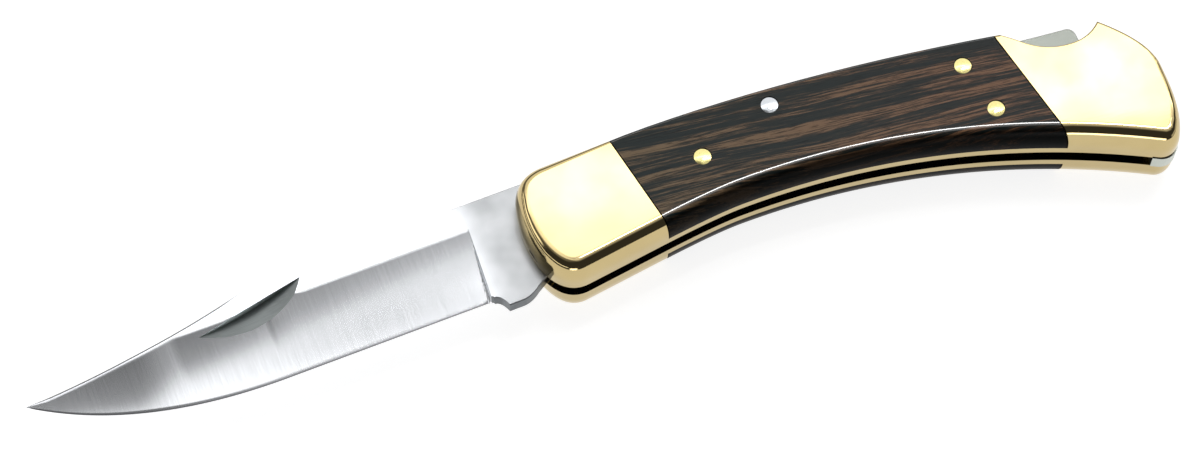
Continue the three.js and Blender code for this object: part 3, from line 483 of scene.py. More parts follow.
# the faces at the joints with the wood stay as they were sawn, dull and darkened by the glue
sawn_brass, tree, shader = new_material("brass_sawn_joint_face")
set_inputs(tree, shader, {"Base Color": sheet_colour("3c3020"), "Metallic": 0.6, "Roughness": 0.55})
joint_way = Vector((math.cos(JOINT_TILT), math.sin(JOINT_TILT), 0))
for bolster, place_name in ((front_bolster, "front_bolster"), (rear_bolster, "rear_bolster")):
    bolster.data.materials.append(polished_brass)
    bolster.data.materials.append(sawn_brass)
    for face in bolster.data.polygons:
        face.material_index = 1 if abs(face.normal.dot(joint_way)) > 0.999 else 0
    smooth(bolster)
    mirror_image = other_side(bolster, "right_" + place_name + "_casting")
    dress(bolster, "left_" + place_name, "handle", None)
    dress(mirror_image, "right_" + place_name, "handle", None)

# The scales are dark striped hardwood between the bolsters, sawn along the grain, ground to the
# frame's outline together with the brass, waxed and buffed. Each lies on its liner.
PIN_RADIUS = 1.5875
HOLE_CLEARANCE = 0.04
HOLE_CHAMFER = 0.08
DRILL_LENGTH = 12
SCALE_PINS = ("front_scale_pin", "rear_upper_scale_pin", "rear_lower_scale_pin")

pin_spots = {}
for node_name in (*["left_" + pin_name for pin_name in SCALE_PINS], "lock_bar_pin"):
    low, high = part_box(node_name)
    pin_spots[node_name] = ((low.x + high.x) / 2 / MM, (low.y + high.y) / 2 / MM)


def drill(spot, radius, z=HANDLE_HALF):
    """A round drill that goes right through a piece at one spot."""
    deselect()
    bpy.ops.mesh.primitive_cylinder_add(vertices=64, radius=radius * MM, depth=DRILL_LENGTH * MM,
                                        location=(spot[0] * MM, spot[1] * MM, z * MM))
    return bpy.context.object


def pin_hole_drill(spot):
    """A drill for one pin hole, with a countersink that breaks the hole's outer edge."""
    radius = PIN_RADIUS + HOLE_CLEARANCE
    stepped = drill(spot, radius, 2 * HANDLE_HALF)
    bpy.ops.mesh.primitive_cone_add(
        vertices=64, radius1=radius * MM, radius2=(radius + 2 * HOLE_CHAMFER) * MM,
        depth=2 * HOLE_CHAMFER * MM, location=(spot[0] * MM, spot[1] * MM, 2 * HANDLE_HALF * MM))
    combine(stepped, bpy.context.object, "UNION")
    return stepped


# Dark striped hardwood, waxed and buffed. The grain runs along the handle and dips a little
# towards the butt: charcoal bands with brown streaks between them, fine fibres and open pores,
# all at the widths that such wood has.
striped_wood, tree, shader = new_material("striped_hardwood_waxed")
place = add_node(tree, "ShaderNodeTexCoord").outputs["Object"]
along_grain = add_node(tree, "ShaderNodeMapping",
                       {"Vector": place, "Rotation": (0.0, 0.0, math.radians(8.5))})
grain = along_grain.outputs["Vector"]
drift_scale = add_node(tree, "ShaderNodeMapping",
                       {"Vector": grain, "Scale": repeats(35.71, 9.091, 16.67)})
drift = add_node(tree, "ShaderNodeTexNoise",
                 {"Vector": drift_scale.outputs["Vector"], "Scale": 1.0, "Detail": 1.0})
drift_push = add_node(tree, "ShaderNodeVectorMath",
                      {0: drift.outputs["Color"], 1: (0.0, 0.0035, 0.002)}, operation="MULTIPLY")
flow = add_node(tree, "ShaderNodeVectorMath", {0: grain, 1: drift_push.outputs[0]},
                operation="ADD").outputs[0]
band_scale = add_node(tree, "ShaderNodeMapping", {"Vector": flow, "Scale": repeats(62.5, 1.667, 5)})
bands = add_node(tree, "ShaderNodeTexNoise",
                 {"Vector": band_scale.outputs["Vector"], "Scale": 1.0, "Detail": 3.0,
                  "Roughness": 0.62})
streak_scale = add_node(tree, "ShaderNodeMapping",
                        {"Vector": flow, "Scale": repeats(9.091, 0.2778, 0.7692)})
streaks = add_node(tree, "ShaderNodeTexNoise",
                   {"Vector": streak_scale.outputs["Vector"], "Scale": 1.0, "Detail": 4.0,
                    "Roughness": 0.78})
mixed = add_node(tree, "ShaderNodeMath",
                 {0: streaks.outputs["Fac"], 1: 0.8, 2: bands.outputs["Fac"]},
                 operation="MULTIPLY_ADD")
tint = add_node(tree, "ShaderNodeValToRGB", {"Fac": mixed.outputs[0]})
ramp = tint.color_ramp
ramp.elements[0].position, ramp.elements[0].color = 0.77, sheet_colour("1c282a")
ramp.elements[1].position, ramp.elements[1].color = 1.0, sheet_colour("92735a")
for position, code in ((0.85, "252c2c"), (0.90, "3c3731"), (0.95, "604c3d")):
    element = ramp.elements.new(position)
    element.color = sheet_colour(code)
pore_scale = add_node(tree, "ShaderNodeMapping",
                      {"Vector": grain, "Scale": repeats(3.125, 0.1923, 0.1923)})
pores = add_node(tree, "ShaderNodeTexNoise",
                 {"Vector": pore_scale.outputs["Vector"], "Scale": 1.0, "Detail": 1.0})
open_pores = add_node(tree, "ShaderNodeMapRange",
                      {"Value": pores.outputs["Fac"], "From Min": 0.62, "From Max": 0.70,
                       "To Min": 1.0, "To Max": 0.35}, interpolation_type="SMOOTHSTEP")
# the board turns from a greener to a redder brown towards the butt
along_board = add_node(tree, "ShaderNodeMapRange",
                       {"Value": add_node(tree, "ShaderNodeSeparateXYZ", {"Vector": place}
                                          ).outputs["X"],
                        "From Min": 0.015, "From Max": 0.075})
hue = add_node(tree, "ShaderNodeMix",
               {"Factor": along_board.outputs["Result"],
                "A": (0.88, 1.0, 0.92, 1.0), "B": (1.12, 0.97, 0.88, 1.0)}, data_type="RGBA")
hued = add_node(tree, "ShaderNodeMix",
                {"Factor": 1.0, "A": tint.outputs["Color"], "B": hue.outputs["Result"]},
                data_type="RGBA", blend_type="MULTIPLY")
pored = add_node(tree, "ShaderNodeMix",
                 {"Factor": 1.0, "A": hued.outputs["Result"], "B": open_pores.outputs["Result"]},
                 data_type="RGBA", blend_type="MULTIPLY")
relief = add_node(tree, "ShaderNodeMath",
                  {0: streaks.outputs["Fac"], 1: 0.35, 2: open_pores.outputs["Result"]},
                  operation="MULTIPLY_ADD")
wood_bump = add_node(tree, "ShaderNodeBump",
                     {"Strength": 0.25, "Distance": 0.00002, "Height": relief.outputs[0]})
# the rounded sides are darkened in the colour, a painted shade; the corner where they begin is
# burnished
facing = add_node(tree, "ShaderNodeMath",
                  {0: add_node(tree, "ShaderNodeSeparateXYZ",
                               {"Vector": add_node(tree, "ShaderNodeTexCoord").outputs["Normal"]}
                               ).outputs["Z"]}, operation="ABSOLUTE").outputs[0]
painted_side_shade = add_node(tree, "ShaderNodeMapRange",
                     {"Value": facing, "From Min": 0.70, "From Max": 0.99,
                      "To Min": 0.12, "To Max": 1.0}, interpolation_type="SMOOTHSTEP")
# the waxed wood's colour times the painted shade on its rounded sides
waxed_with_painted_shade = add_node(tree, "ShaderNodeMix",
                 {"Factor": 1.0, "A": pored.outputs["Result"], "B": painted_side_shade.outputs["Result"]},
                 data_type="RGBA", blend_type="MULTIPLY")
past_flat = add_node(tree, "ShaderNodeMapRange",
                     {"Value": facing, "From Min": 0.9996, "From Max": 0.9980,
                      "To Min": 0.0, "To Max": 1.0}, interpolation_type="SMOOTHSTEP")
before_side = add_node(tree, "ShaderNodeMapRange",
                       {"Value": facing, "From Min": 0.965, "From Max": 0.985,
                        "To Min": 0.0, "To Max": 1.0}, interpolation_type="SMOOTHSTEP")
burnish = add_node(tree, "ShaderNodeMath",
                   {0: past_flat.outputs["Result"], 1: before_side.outputs["Result"]},
                   operation="MULTIPLY")
set_inputs(tree, shader, {"Coat Weight": burnish.outputs[0], "Base Color": waxed_with_painted_shade.outputs["Result"],
                          "Normal": wood_bump.outputs["Normal"], "Roughness": 0.3})
side_shine = add_node(tree, "ShaderNodeMapRange",
                      {"Value": facing, "From Min": 0.4, "From Max": 0.95,
                       "To Min": 0.03, "To Max": 0.16})
set_inputs(tree, shader, {"Specular IOR Level": side_shine.outputs["Result"], "Coat IOR": 2.0,
                          "Coat Roughness": 0.05})

left_scale = copy_of(cover, "left_scale_slab")
trim(left_scale, FRONT_JOINT_X + JOINT_GAP, False)
trim(left_scale, rear_joint_x - JOINT_GAP, True)
for spot in pin_spots.values():
    combine(left_scale, pin_hole_drill(spot), "DIFFERENCE")
smooth(left_scale)
right_scale = other_side(left_scale, "right_scale_slab")
dress(left_scale, "left_scale", "handle", striped_wood)
dress(right_scale, "right_scale", "handle", striped_wood)
bpy.data.objects.remove(cover)

# Brass escutcheon-style pins hold each scale to its liner. They are cut from drawn rod, driven
# in and finished with a low dome that stands in the countersunk hole.
DOME_HEIGHT = 0.15


def domed_pin(name, spot, z_low):
    """A short round rod with a low dome on its upper end."""
    deselect()
    height = 2 * HANDLE_HALF - DOME_HEIGHT - z_low
    bpy.ops.mesh.primitive_cylinder_add(
        vertices=64, radius=PIN_RADIUS * MM, depth=height * MM,
        location=(spot[0] * MM, spot[1] * MM, (z_low + height / 2) * MM))
    piece = bpy.context.object
    piece.name = name
    bpy.ops.object.transform_apply(location=True, rotation=True, scale=True)
    pick_faces(piece, lambda face: face.normal.z > 0.99)
    steps = 8
    for i in range(steps):
        inner, outer = 1 - (i + 1) / (steps + 0.4), 1 - i / (steps + 0.4)
        bpy.ops.mesh.inset(thickness=PIN_RADIUS * (outer - inner) * MM,
                           depth=DOME_HEIGHT * (outer ** 2 - inner ** 2) * MM)
    bpy.ops.object.mode_set(mode="OBJECT")
    smooth(piece, 25)
    return piece


# they are of a yellower drawn brass than the cast bolsters, and only brushed bright, with
# specks drawn coarser than real ones
pin_brass, tree, shader = new_material("brass_drawn_pin")
place = add_node(tree, "ShaderNodeTexCoord").outputs["Object"]
specks = add_node(tree, "ShaderNodeTexNoise",
                  {"Vector": place, "Scale": repeats(0.3846), "Detail": 2.0})
pin_tone = add_node(tree, "ShaderNodeMix",
                    {"Factor": specks.outputs["Fac"],
                     "A": sheet_colour("dccd82"), "B": sheet_colour("f3e8a4")}, data_type="RGBA")
set_inputs(tree, shader, {"Base Color": pin_tone.outputs["Result"], "Metallic": 1.0,
                          "Roughness": 0.13})
for pin_name in SCALE_PINS:
    pin = domed_pin("left_" + pin_name + "_rod", pin_spots["left_" + pin_name],
                    HANDLE_HALF + SLOT_WIDTH / 2)
    far_pin = other_side(pin, "right_" + pin_name + "_rod")
    dress(pin, "left_" + pin_name, "handle", pin_brass)
    dress(far_pin, "right_" + pin_name, "handle", pin_brass)

# The lock bar's pin is the only steel one: a polished rod through the whole handle, peened to a
# low dome at both ends. The bar that it carries has a belt's satin finish, whose lines run along
# its edges; its flats lie in the slot, and their colour is darkened there as a painted shade.
satin_steel, tree, shader = new_material("stainless_steel_satin")
place = add_node(tree, "ShaderNodeTexCoord").outputs["Object"]
belt_scale = add_node(tree, "ShaderNodeMapping",
                      {"Vector": place, "Scale": repeats(11.11, 11.11, 0.1111)})
belt_lines = add_node(tree, "ShaderNodeTexNoise",
                      {"Vector": belt_scale.outputs["Vector"], "Scale": 1.0, "Detail": 3.0})
belt_bump = add_node(tree, "ShaderNodeBump",
                     {"Strength": 0.12, "Distance": 0.00001, "Height": belt_lines.outputs["Fac"]})
steel_tone = add_node(tree, "ShaderNodeMix",
                      {"Factor": belt_lines.outputs["Fac"],
                       "A": sheet_colour("b3b8b0"), "B": sheet_colour("cbd0c7")}, data_type="RGBA")
flat_side = add_node(tree, "ShaderNodeMath",
                     {0: add_node(tree, "ShaderNodeSeparateXYZ",
                                  {"Vector": add_node(tree, "ShaderNodeTexCoord").outputs["Normal"]}
                                  ).outputs["Z"]}, operation="ABSOLUTE").outputs[0]
# painted shade: the colour of the flat sides, which lie in the slot, is multiplied down
painted_slot_shade = add_node(tree, "ShaderNodeMapRange",
                     {"Value": flat_side, "From Min": 0.5, "From Max": 0.95,
                      "To Min": 1.0, "To Max": 0.42})
satin_colour_with_painted_shade = add_node(tree, "ShaderNodeMix",
                        {"Factor": 1.0, "A": steel_tone.outputs["Result"],
                         "B": painted_slot_shade.outputs["Result"]},
                        data_type="RGBA", blend_type="MULTIPLY")
set_inputs(tree, shader, {"Base Color": satin_colour_with_painted_shade.outputs["Result"],
                          "Normal": belt_bump.outputs["Normal"], "Metallic": 1.0, "Roughness": 0.3})

polished_steel, tree, shader = new_material("stainless_steel_polished")
place = add_node(tree, "ShaderNodeTexCoord").outputs["Object"]
rubbed = add_node(tree, "ShaderNodeTexNoise", {"Vector": place, "Scale": repeats(1.111), "Detail": 3.0})
rub_gloss = add_node(tree, "ShaderNodeMapRange",
                     {"Value": rubbed.outputs["Fac"], "From Min": 0.3, "From Max": 0.7,
                      "To Min": 0.07, "To Max": 0.16})
set_inputs(tree, shader, {"Roughness": rub_gloss.outputs["Result"],
                          "Base Color": sheet_colour("c9cdd1"), "Metallic": 1.0})

pin_top = domed_pin("lock_bar_pin_rod", pin_spots["lock_bar_pin"], HANDLE_HALF)
pin_bottom = other_side(pin_top, "lock_bar_pin_half")
select_only(pin_top)
pin_bottom.select_set(True)
bpy.ops.object.join()
bpy.ops.object.mode_set(mode="EDIT")
bpy.ops.mesh.select_all(action="SELECT")
bpy.ops.mesh.remove_doubles(threshold=0.001 * MM)
bpy.ops.mesh.normals_make_consistent(inside=False)
bpy.ops.object.mode_set(mode="OBJECT")
pick_faces(pin_top, lambda face: abs(face.center.z - HANDLE_HALF * MM) < 0.01 * MM
           and abs(face.normal.z) > 0.99)
bpy.ops.mesh.delete(type="ONLY_FACE")
bpy.ops.object.mode_set(mode="OBJECT")
dress(pin_top, "lock_bar_pin", "handle", polished_steel)

# The lock bar is blanked from steel plate. Its lug drops behind the tang, it rocks on its pin,
# and its swollen tail, where the thumb presses, lies in the scoop. Its edges are broken on a belt.
STEEL_HALF = 3.05 / 2
LUG_FRONT_X = -1.95
LUG_LENGTH = 3.1
LUG_REAR_X = LUG_FRONT_X + LUG_LENGTH
LUG_RADIUS = 6.95
LUG_REAR_SLOPE = 0.6
FRONT_ARM_LENGTH = 24
FRONT_ARM_WIDTH = 3.55
arm_under_y = STEEL_BACK_Y - FRONT_ARM_WIDTH
BOSS_RADIUS = 3.3
BOSS_BLEND = 0.55
REAR_ARM_START = 4.9
REAR_ARM_WIDTH = 2.5
WAIST_LENGTH = 17
WAIST_WIDTH = 1.9
TAIL_SETBACK = 10.5
TAIL_DROP = 1.65
TAIL_HEIGHT = 4.4
TAIL_UNDER_ROUND, TAIL_TOP_ROUND = 1, 2
TAIL_UNDER_LEAD, TAIL_UNDER_RISE = 7, 0.8
TAIL_TOP_LEAD, TAIL_TOP_RISE = 9.5, 0.75
EDGE_BREAK = 0.18
steel_back_rear_y = STEEL_BACK_Y - BACK_REAR_DROP
tail_end_x = butt_x - TAIL_SETBACK
tail_top_y = steel_back_rear_y - TAIL_DROP
tail_under_y = tail_top_y - TAIL_HEIGHT
lock_pin = pin_spots["lock_bar_pin"]
STEEL_BACK = (Vector((BACK_STRAIGHT_END_X, STEEL_BACK_Y)), Vector((BACK_CONTROL_X, STEEL_BACK_Y)),
              Vector((back_rear_x, steel_back_rear_y)))


def curve_y(curve, x):
    """Height of a parabola that runs one way along X, found by halving: its own level past
    its rear end."""
    if x >= curve[2].x:
        return curve[2].y
    low, high = 0.0, 1.0
    while high - low > 1e-9:
        t = (low + high) / 2
        here = (1 - t) ** 2 * curve[0].x + 2 * t * (1 - t) * curve[1].x + t ** 2 * curve[2].x
        low, high = (t, high) if here < x else (low, t)
    return (1 - low) ** 2 * curve[0].y + 2 * low * (1 - low) * curve[1].y + low ** 2 * curve[2].y


lug_start = math.acos(LUG_FRONT_X / LUG_RADIUS)
lug_end = math.acos(LUG_REAR_X / LUG_RADIUS)
arm_front_x = lock_pin[0] + REAR_ARM_START
waist_x = arm_front_x + WAIST_LENGTH
bar_steps = [
    (LUG_FRONT_X, LUG_RADIUS * math.sin(lug_start)),
    *arc_steps((0, 0), LUG_RADIUS, lug_start, lug_end),
    (LUG_REAR_X + LUG_REAR_SLOPE, arm_under_y),
    (LUG_FRONT_X + FRONT_ARM_LENGTH, arm_under_y),
    (lock_pin[0] - BOSS_RADIUS * math.cos(BOSS_BLEND),
     lock_pin[1] + BOSS_RADIUS * math.sin(BOSS_BLEND)),
    *arc_steps(lock_pin, BOSS_RADIUS, math.pi - BOSS_BLEND, 2 * math.pi + BOSS_BLEND, 3),
    (arm_front_x, curve_y(STEEL_BACK, arm_front_x) - REAR_ARM_WIDTH),
    ((waist_x, curve_y(STEEL_BACK, waist_x) - WAIST_WIDTH),
     (back_rear_x, steel_back_rear_y - REAR_ARM_WIDTH)),
    ((tail_end_x - TAIL_UNDER_LEAD, tail_under_y + TAIL_UNDER_RISE),
     (tail_end_x - TAIL_UNDER_ROUND, tail_under_y)),
    ((tail_end_x, tail_under_y), (tail_end_x, tail_under_y + TAIL_UNDER_ROUND)),
    (tail_end_x, tail_top_y - TAIL_TOP_ROUND),
    ((tail_end_x, tail_top_y), (tail_end_x - TAIL_TOP_ROUND, tail_top_y)),
    ((tail_end_x - TAIL_TOP_LEAD, tail_top_y + TAIL_TOP_RISE), (back_rear_x, steel_back_rear_y)),
    ((BACK_CONTROL_X, STEEL_BACK_Y), (BACK_STRAIGHT_END_X, STEEL_BACK_Y)),
    (LUG_FRONT_X, STEEL_BACK_Y),
]
lock_bar = flat_outline("lock_bar_plate", (LUG_FRONT_X, STEEL_BACK_Y), bar_steps,
                        HANDLE_HALF - STEEL_HALF + EDGE_BREAK)
edge_rings = rim(EDGE_BREAK, EDGE_BREAK, 2)
raise_face(lock_bar, 2 * (STEEL_HALF - EDGE_BREAK), edge_rings, edge_rings)
combine(lock_bar, drill(lock_pin, PIN_RADIUS + HOLE_CLEARANCE), "DIFFERENCE")
smooth(lock_bar)
dress(lock_bar, "lock_bar", "lock_bar", satin_steel)

# The blade is ground from steel plate. The tang and the kick are profiled first; then two large
# wheels hollow the sides up to the plunge, the edge is whetted, and a small wheel cuts the nail
# nick. The ricasso between the plunge and the handle keeps the plate's fine-ground face.
BLADE_WIDTH = 19.5
CLIP_LENGTH, CLIP_CONTROL_LENGTH, CLIP_CONTROL_DROP = 46.6, 26.2, 6.25
BELLY_LENGTH, BELLY_CONTROL_LENGTH = 45.6, 17.6
EDGE_Y = STEEL_BACK_Y - BLADE_WIDTH
TIP = Vector((-BLADE_REACH, STEEL_BACK_Y - TIP_DROP))
CLIP = (TIP, Vector((CLIP_CONTROL_LENGTH - BLADE_REACH, STEEL_BACK_Y - CLIP_CONTROL_DROP)),
        Vector((CLIP_LENGTH - BLADE_REACH, STEEL_BACK_Y)))
BELLY = (TIP, Vector((BELLY_CONTROL_LENGTH - BLADE_REACH, EDGE_Y)),
         Vector((BELLY_LENGTH - BLADE_REACH, EDGE_Y)))
RICASSO_END_X = -20.8
CHOIL_RADIUS = 0.5
PLUNGE_RADIUS = 1.6
PLUNGE_LEAN = math.tan(math.radians(4))
CURVES_START_X = CLIP[2].x
WHEEL_RADIUS = 98
TIP_HALF = 1.15
TIP_BLUNTING = 0.15
SPINE_BREAK = 0.16
FLAT_WIDTH, CLIP_FLAT_WIDTH = 5.0, 0.7
BEVEL_WIDTH, BEVEL_HALF, EDGE_HALF = 0.3, 0.13, 0.04
GRIND_SLOPE, CLIP_SLOPE_GAIN, TIP_SLOPE_LOSS = 0.106, 0.032, 0.058
BLEND_POWER = -12
HOLLOW_STEPS, PLUNGE_STEPS, STRAIGHT_STEPS, CURVE_STEPS = 28, 16, 12, 90


def leaned_x(x, y):
    """The plunge leans, so its upper end is nearer the handle."""
    return x + (y - EDGE_Y) * PLUNGE_LEAN if x > CURVES_START_X else x


def blade_section(x):
    """One cross-section of the ground blade from the spine down its left side: points (y, z)
    for a broken spine edge, the flat, the hollow of the grinding wheel and the edge bevel."""
    top, edge = curve_y(CLIP, x), curve_y(BELLY, x)
    height = top - edge
    grind_top = min(STEEL_BACK_Y - FLAT_WIDTH, top - min(CLIP_FLAT_WIDTH, height / 4))
    bevel_top = edge + min(BEVEL_WIDTH, height / 6)
    grind_height = grind_top - bevel_top
    # the distal taper starts with the clip, and the two grinds meet softly where it has begun
    tapered = max(0.0, (CURVES_START_X - x) / CLIP_LENGTH)
    thinner = min(1.0, max(0.0, (tapered - 0.25) / 0.7))
    slope = (GRIND_SLOPE + CLIP_SLOPE_GAIN * min(1.0, 4 * tapered)
             - TIP_SLOPE_LOSS * thinner ** 2 * (3 - 2 * thinner))
    ground = BEVEL_HALF + slope * grind_height
    full = left_over = STEEL_HALF + (TIP_HALF - STEEL_HALF) * tapered
    if tapered > 0:
        full = (ground ** BLEND_POWER + left_over ** BLEND_POWER) ** (1 / BLEND_POWER)
    hollow = grind_height ** 2 / (8 * WHEEL_RADIUS)
    into = min(PLUNGE_RADIUS, max(0.0, RICASSO_END_X - x))
    corner = math.sqrt(into * (2 * PLUNGE_RADIUS - into))
    edge_break = min(SPINE_BREAK * (1 + min(1.0, 6 * tapered)), height / 10)
    points = [(top, full - edge_break * (1 - 0.45 * min(1.0, 6 * tapered))),
              (top - edge_break, full)]
    for step in range(HOLLOW_STEPS + 1):
        down = step / HOLLOW_STEPS
        ground = full + (BEVEL_HALF - full) * down - 4 * hollow * down * (1 - down)
        points.append((grind_top - grind_height * down, max(ground, full - corner)))
    points.append((edge, max(EDGE_HALF, full - corner)))
    return points


plunge_end_x = RICASSO_END_X - PLUNGE_RADIUS
tip_end_x = TIP_BLUNTING - BLADE_REACH
stations = [RICASSO_END_X + CHOIL_RADIUS]
stations += [RICASSO_END_X - PLUNGE_RADIUS * (i / PLUNGE_STEPS) ** 2 for i in range(PLUNGE_STEPS + 1)]
stations += [plunge_end_x + (CURVES_START_X - plunge_end_x) * i / STRAIGHT_STEPS
             for i in range(1, STRAIGHT_STEPS)]
stations += [CURVES_START_X + (tip_end_x - CURVES_START_X) * math.sin(i / CURVE_STEPS * math.pi / 2)
             for i in range(CURVE_STEPS + 1)]
# bpy.ops has no loft through changing sections, so the ground surface is laid out as a grid
grid = bmesh.new()
rows = []
for x in stations:
    left = blade_section(x)
    ring = left + [(y, -z) for y, z in reversed(left)]
    rows.append([grid.verts.new((leaned_x(x, y) * MM, y * MM, (HANDLE_HALF + z) * MM))
                 for y, z in ring])
for here, there in zip(rows, rows[1:]):
    for i in range(len(here)):
        j = (i + 1) % len(here)
        face = grid.faces.new((here[i], there[i], there[j], here[j]))
        if here is not rows[0] and 2 <= min(i, len(here) - 2 - i) < len(here) // 2 - 2:
            face.material_index = 3
grid.faces.new(rows[0])
grid.faces.new(reversed(rows[-1]))
bmesh.ops.recalc_face_normals(grid, faces=grid.faces)
blade_mesh = bpy.data.meshes.new("blade_ground")
grid.to_mesh(blade_mesh)
grid.free()
blade = bpy.data.objects.new("blade_ground", blade_mesh)
bpy.context.collection.objects.link(blade)
for slot_number in range(4):
    blade.data.materials.append(None)

TANG_RADIUS = 6.6
BUSHING_HOLE_RADIUS = 3.56
LOCK_STEP_X = -2.2
NOTCH_LENGTH, NOTCH_DEPTH = 3.9, 1.2
KICK_DROP, KICK_LENGTH, KICK_SLOPE_LENGTH = 2.35, 2.6, 2.0
KICK_FRONT_HOLLOW, KICK_REAR_ROUND = 0.9, 1.8
KICK_REAR_LENGTH, KICK_REAR_RISE = 3.7, 1.5
HEEL_LENGTH, HEEL_RISE, HEEL_HOLLOW, HEEL_HOLLOW_RISE = 2.5, 1.5, 3.4, 1.4
kick_y = EDGE_Y - KICK_DROP
notch_rear_x = LOCK_STEP_X + NOTCH_LENGTH
kick_front_x = RICASSO_END_X + CHOIL_RADIUS + KICK_SLOPE_LENGTH
kick_rear_x = kick_front_x + KICK_LENGTH
rise_x, rise_y = kick_rear_x + KICK_REAR_LENGTH, kick_y + KICK_REAR_RISE
round_start = math.radians(245)
round_from = Vector((TANG_RADIUS * math.cos(round_start), TANG_RADIUS * math.sin(round_start)))
notch_angle = math.acos(notch_rear_x / TANG_RADIUS) + 2 * math.pi
tang_start = (RICASSO_END_X + BLADE_WIDTH * PLUNGE_LEAN, STEEL_BACK_Y)
tang_steps = [
    (RICASSO_END_X, EDGE_Y),
    (RICASSO_END_X + CHOIL_RADIUS, EDGE_Y),
    ((kick_front_x - KICK_FRONT_HOLLOW, EDGE_Y), (kick_front_x, kick_y)),
    (kick_rear_x, kick_y),
    ((kick_rear_x + KICK_REAR_ROUND, kick_y), (rise_x, rise_y)),
    (rise_x + HEEL_LENGTH, rise_y + HEEL_RISE),
    ((round_from.x - HEEL_HOLLOW, round_from.y + HEEL_HOLLOW_RISE), tuple(round_from)),
    *arc_steps((0, 0), TANG_RADIUS, round_start, notch_angle, 5),
    (notch_rear_x, TANG_RADIUS - NOTCH_DEPTH),
    (LOCK_STEP_X, TANG_RADIUS - NOTCH_DEPTH),
    (LOCK_STEP_X, STEEL_BACK_Y),
    tang_start,
]
tang = flat_outline("tang", tang_start, tang_steps, HANDLE_HALF - STEEL_HALF + SPINE_BREAK)
raise_face(tang, 2 * (STEEL_HALF - SPINE_BREAK), [(SPINE_BREAK, SPINE_BREAK)],
           [(SPINE_BREAK, SPINE_BREAK)])
combine(blade, tang, "UNION")
combine(blade, drill((RICASSO_END_X, EDGE_Y), CHOIL_RADIUS), "DIFFERENCE")
combine(blade, drill((0, 0), BUSHING_HOLE_RADIUS), "DIFFERENCE")

NICK_CENTRE_X = -62.6
NICK_DROP = 4.5
NICK_LENGTH = 22.6
NICK_WIDTH = 8.0
NICK_DEPTH = 1.8
NICK_WALL_SLOPE = math.tan(math.radians(17))
NICK_TURN = math.radians(11.6)
nick_radius = NICK_LENGTH ** 2 / (8 * NICK_DEPTH)
nick_surface = STEEL_HALF + (TIP_HALF - STEEL_HALF) * (CURVES_START_X - NICK_CENTRE_X) / CLIP_LENGTH
deselect()
bpy.ops.mesh.primitive_cone_add(
    vertices=1440, radius1=(nick_radius - NICK_WIDTH * NICK_WALL_SLOPE) * MM,
    radius2=nick_radius * MM, depth=NICK_WIDTH * MM, location=(0, -NICK_WIDTH / 2 * MM, 0),
    rotation=(-math.pi / 2, 0, 0))
wheel = bpy.context.object
for slot_number in range(4):
    wheel.data.materials.append(None)
for face in wheel.data.polygons:
    face.material_index = 1
bpy.ops.object.transform_apply(location=True, rotation=True, scale=True)
wheel.rotation_euler = (0, 0, NICK_TURN)
wheel.location = (NICK_CENTRE_X * MM, (STEEL_BACK_Y - NICK_DROP) * MM,
                  (HANDLE_HALF + nick_surface + nick_radius - NICK_DEPTH) * MM)
bpy.ops.object.transform_apply(location=True, rotation=True, scale=True)
combine(blade, wheel, "DIFFERENCE")

# Stainless blade steel. The wheel leaves fine lines straight across the blade, so its shine is
# drawn out along it; the flats are finer than the hollow. Every wheel's lines are drawn two or
# three times as coarse as real ones, so that they show.
blade_steel, tree, shader = new_material("stainless_steel_hollow_ground")
place = add_node(tree, "ShaderNodeTexCoord").outputs["Object"]
line_scale = add_node(tree, "ShaderNodeMapping",
                      {"Vector": place, "Scale": repeats(0.1923, 9.091, 9.091)})
lines = add_node(tree, "ShaderNodeTexNoise",
                 {"Vector": line_scale.outputs["Vector"], "Scale": 1.0, "Detail": 3.0})
line_bump = add_node(tree, "ShaderNodeBump",
                     {"Strength": 0.16, "Distance": 0.00001, "Height": lines.outputs["Fac"]})
cloud = add_node(tree, "ShaderNodeTexNoise", {"Vector": place, "Scale": repeats(14.29), "Detail": 2.0})
blade_tone = add_node(tree, "ShaderNodeMix",
                      {"Factor": lines.outputs["Fac"],
                       "A": sheet_colour("d2d4d8"), "B": sheet_colour("e2e4e8")}, data_type="RGBA")
blade_gloss = add_node(tree, "ShaderNodeMapRange",
                       {"Value": cloud.outputs["Fac"], "From Min": 0.3, "From Max": 0.7,
                        "To Min": 0.15, "To Max": 0.21})
along_blade = add_node(tree, "ShaderNodeSeparateXYZ", {"Vector": place}).outputs["X"]
ricasso = add_node(tree, "ShaderNodeMapRange",
                   {"Value": along_blade, "From Min": -0.0265, "From Max": -0.0150},
                   interpolation_type="SMOOTHSTEP").outputs["Result"]
patches = add_node(tree, "ShaderNodeTexNoise",
                   {"Vector": place, "Scale": repeats(7.692), "Detail": 2.0})
patch_share = add_node(tree, "ShaderNodeMapRange",
                       {"Value": patches.outputs["Fac"], "From Min": 0.35, "From Max": 0.65})
satin_tone = add_node(tree, "ShaderNodeMix",
                      {"Factor": patch_share.outputs["Result"],
                       "A": sheet_colour("9c9ea0"), "B": sheet_colour("b6b8ba")}, data_type="RGBA")
steel_there = add_node(tree, "ShaderNodeMix",
                       {"Factor": ricasso, "A": blade_tone.outputs["Result"],
                        "B": satin_tone.outputs["Result"]}, data_type="RGBA")
duller = add_node(tree, "ShaderNodeMath", {0: ricasso, 1: 0.2,
                                           2: blade_gloss.outputs["Result"]},
                  operation="MULTIPLY_ADD")
set_inputs(tree, shader, {"Base Color": steel_there.outputs["Result"],
                          "Roughness": duller.outputs[0], "Normal": line_bump.outputs["Normal"],
                          "Metallic": 1.0})
smooth(blade, 20)

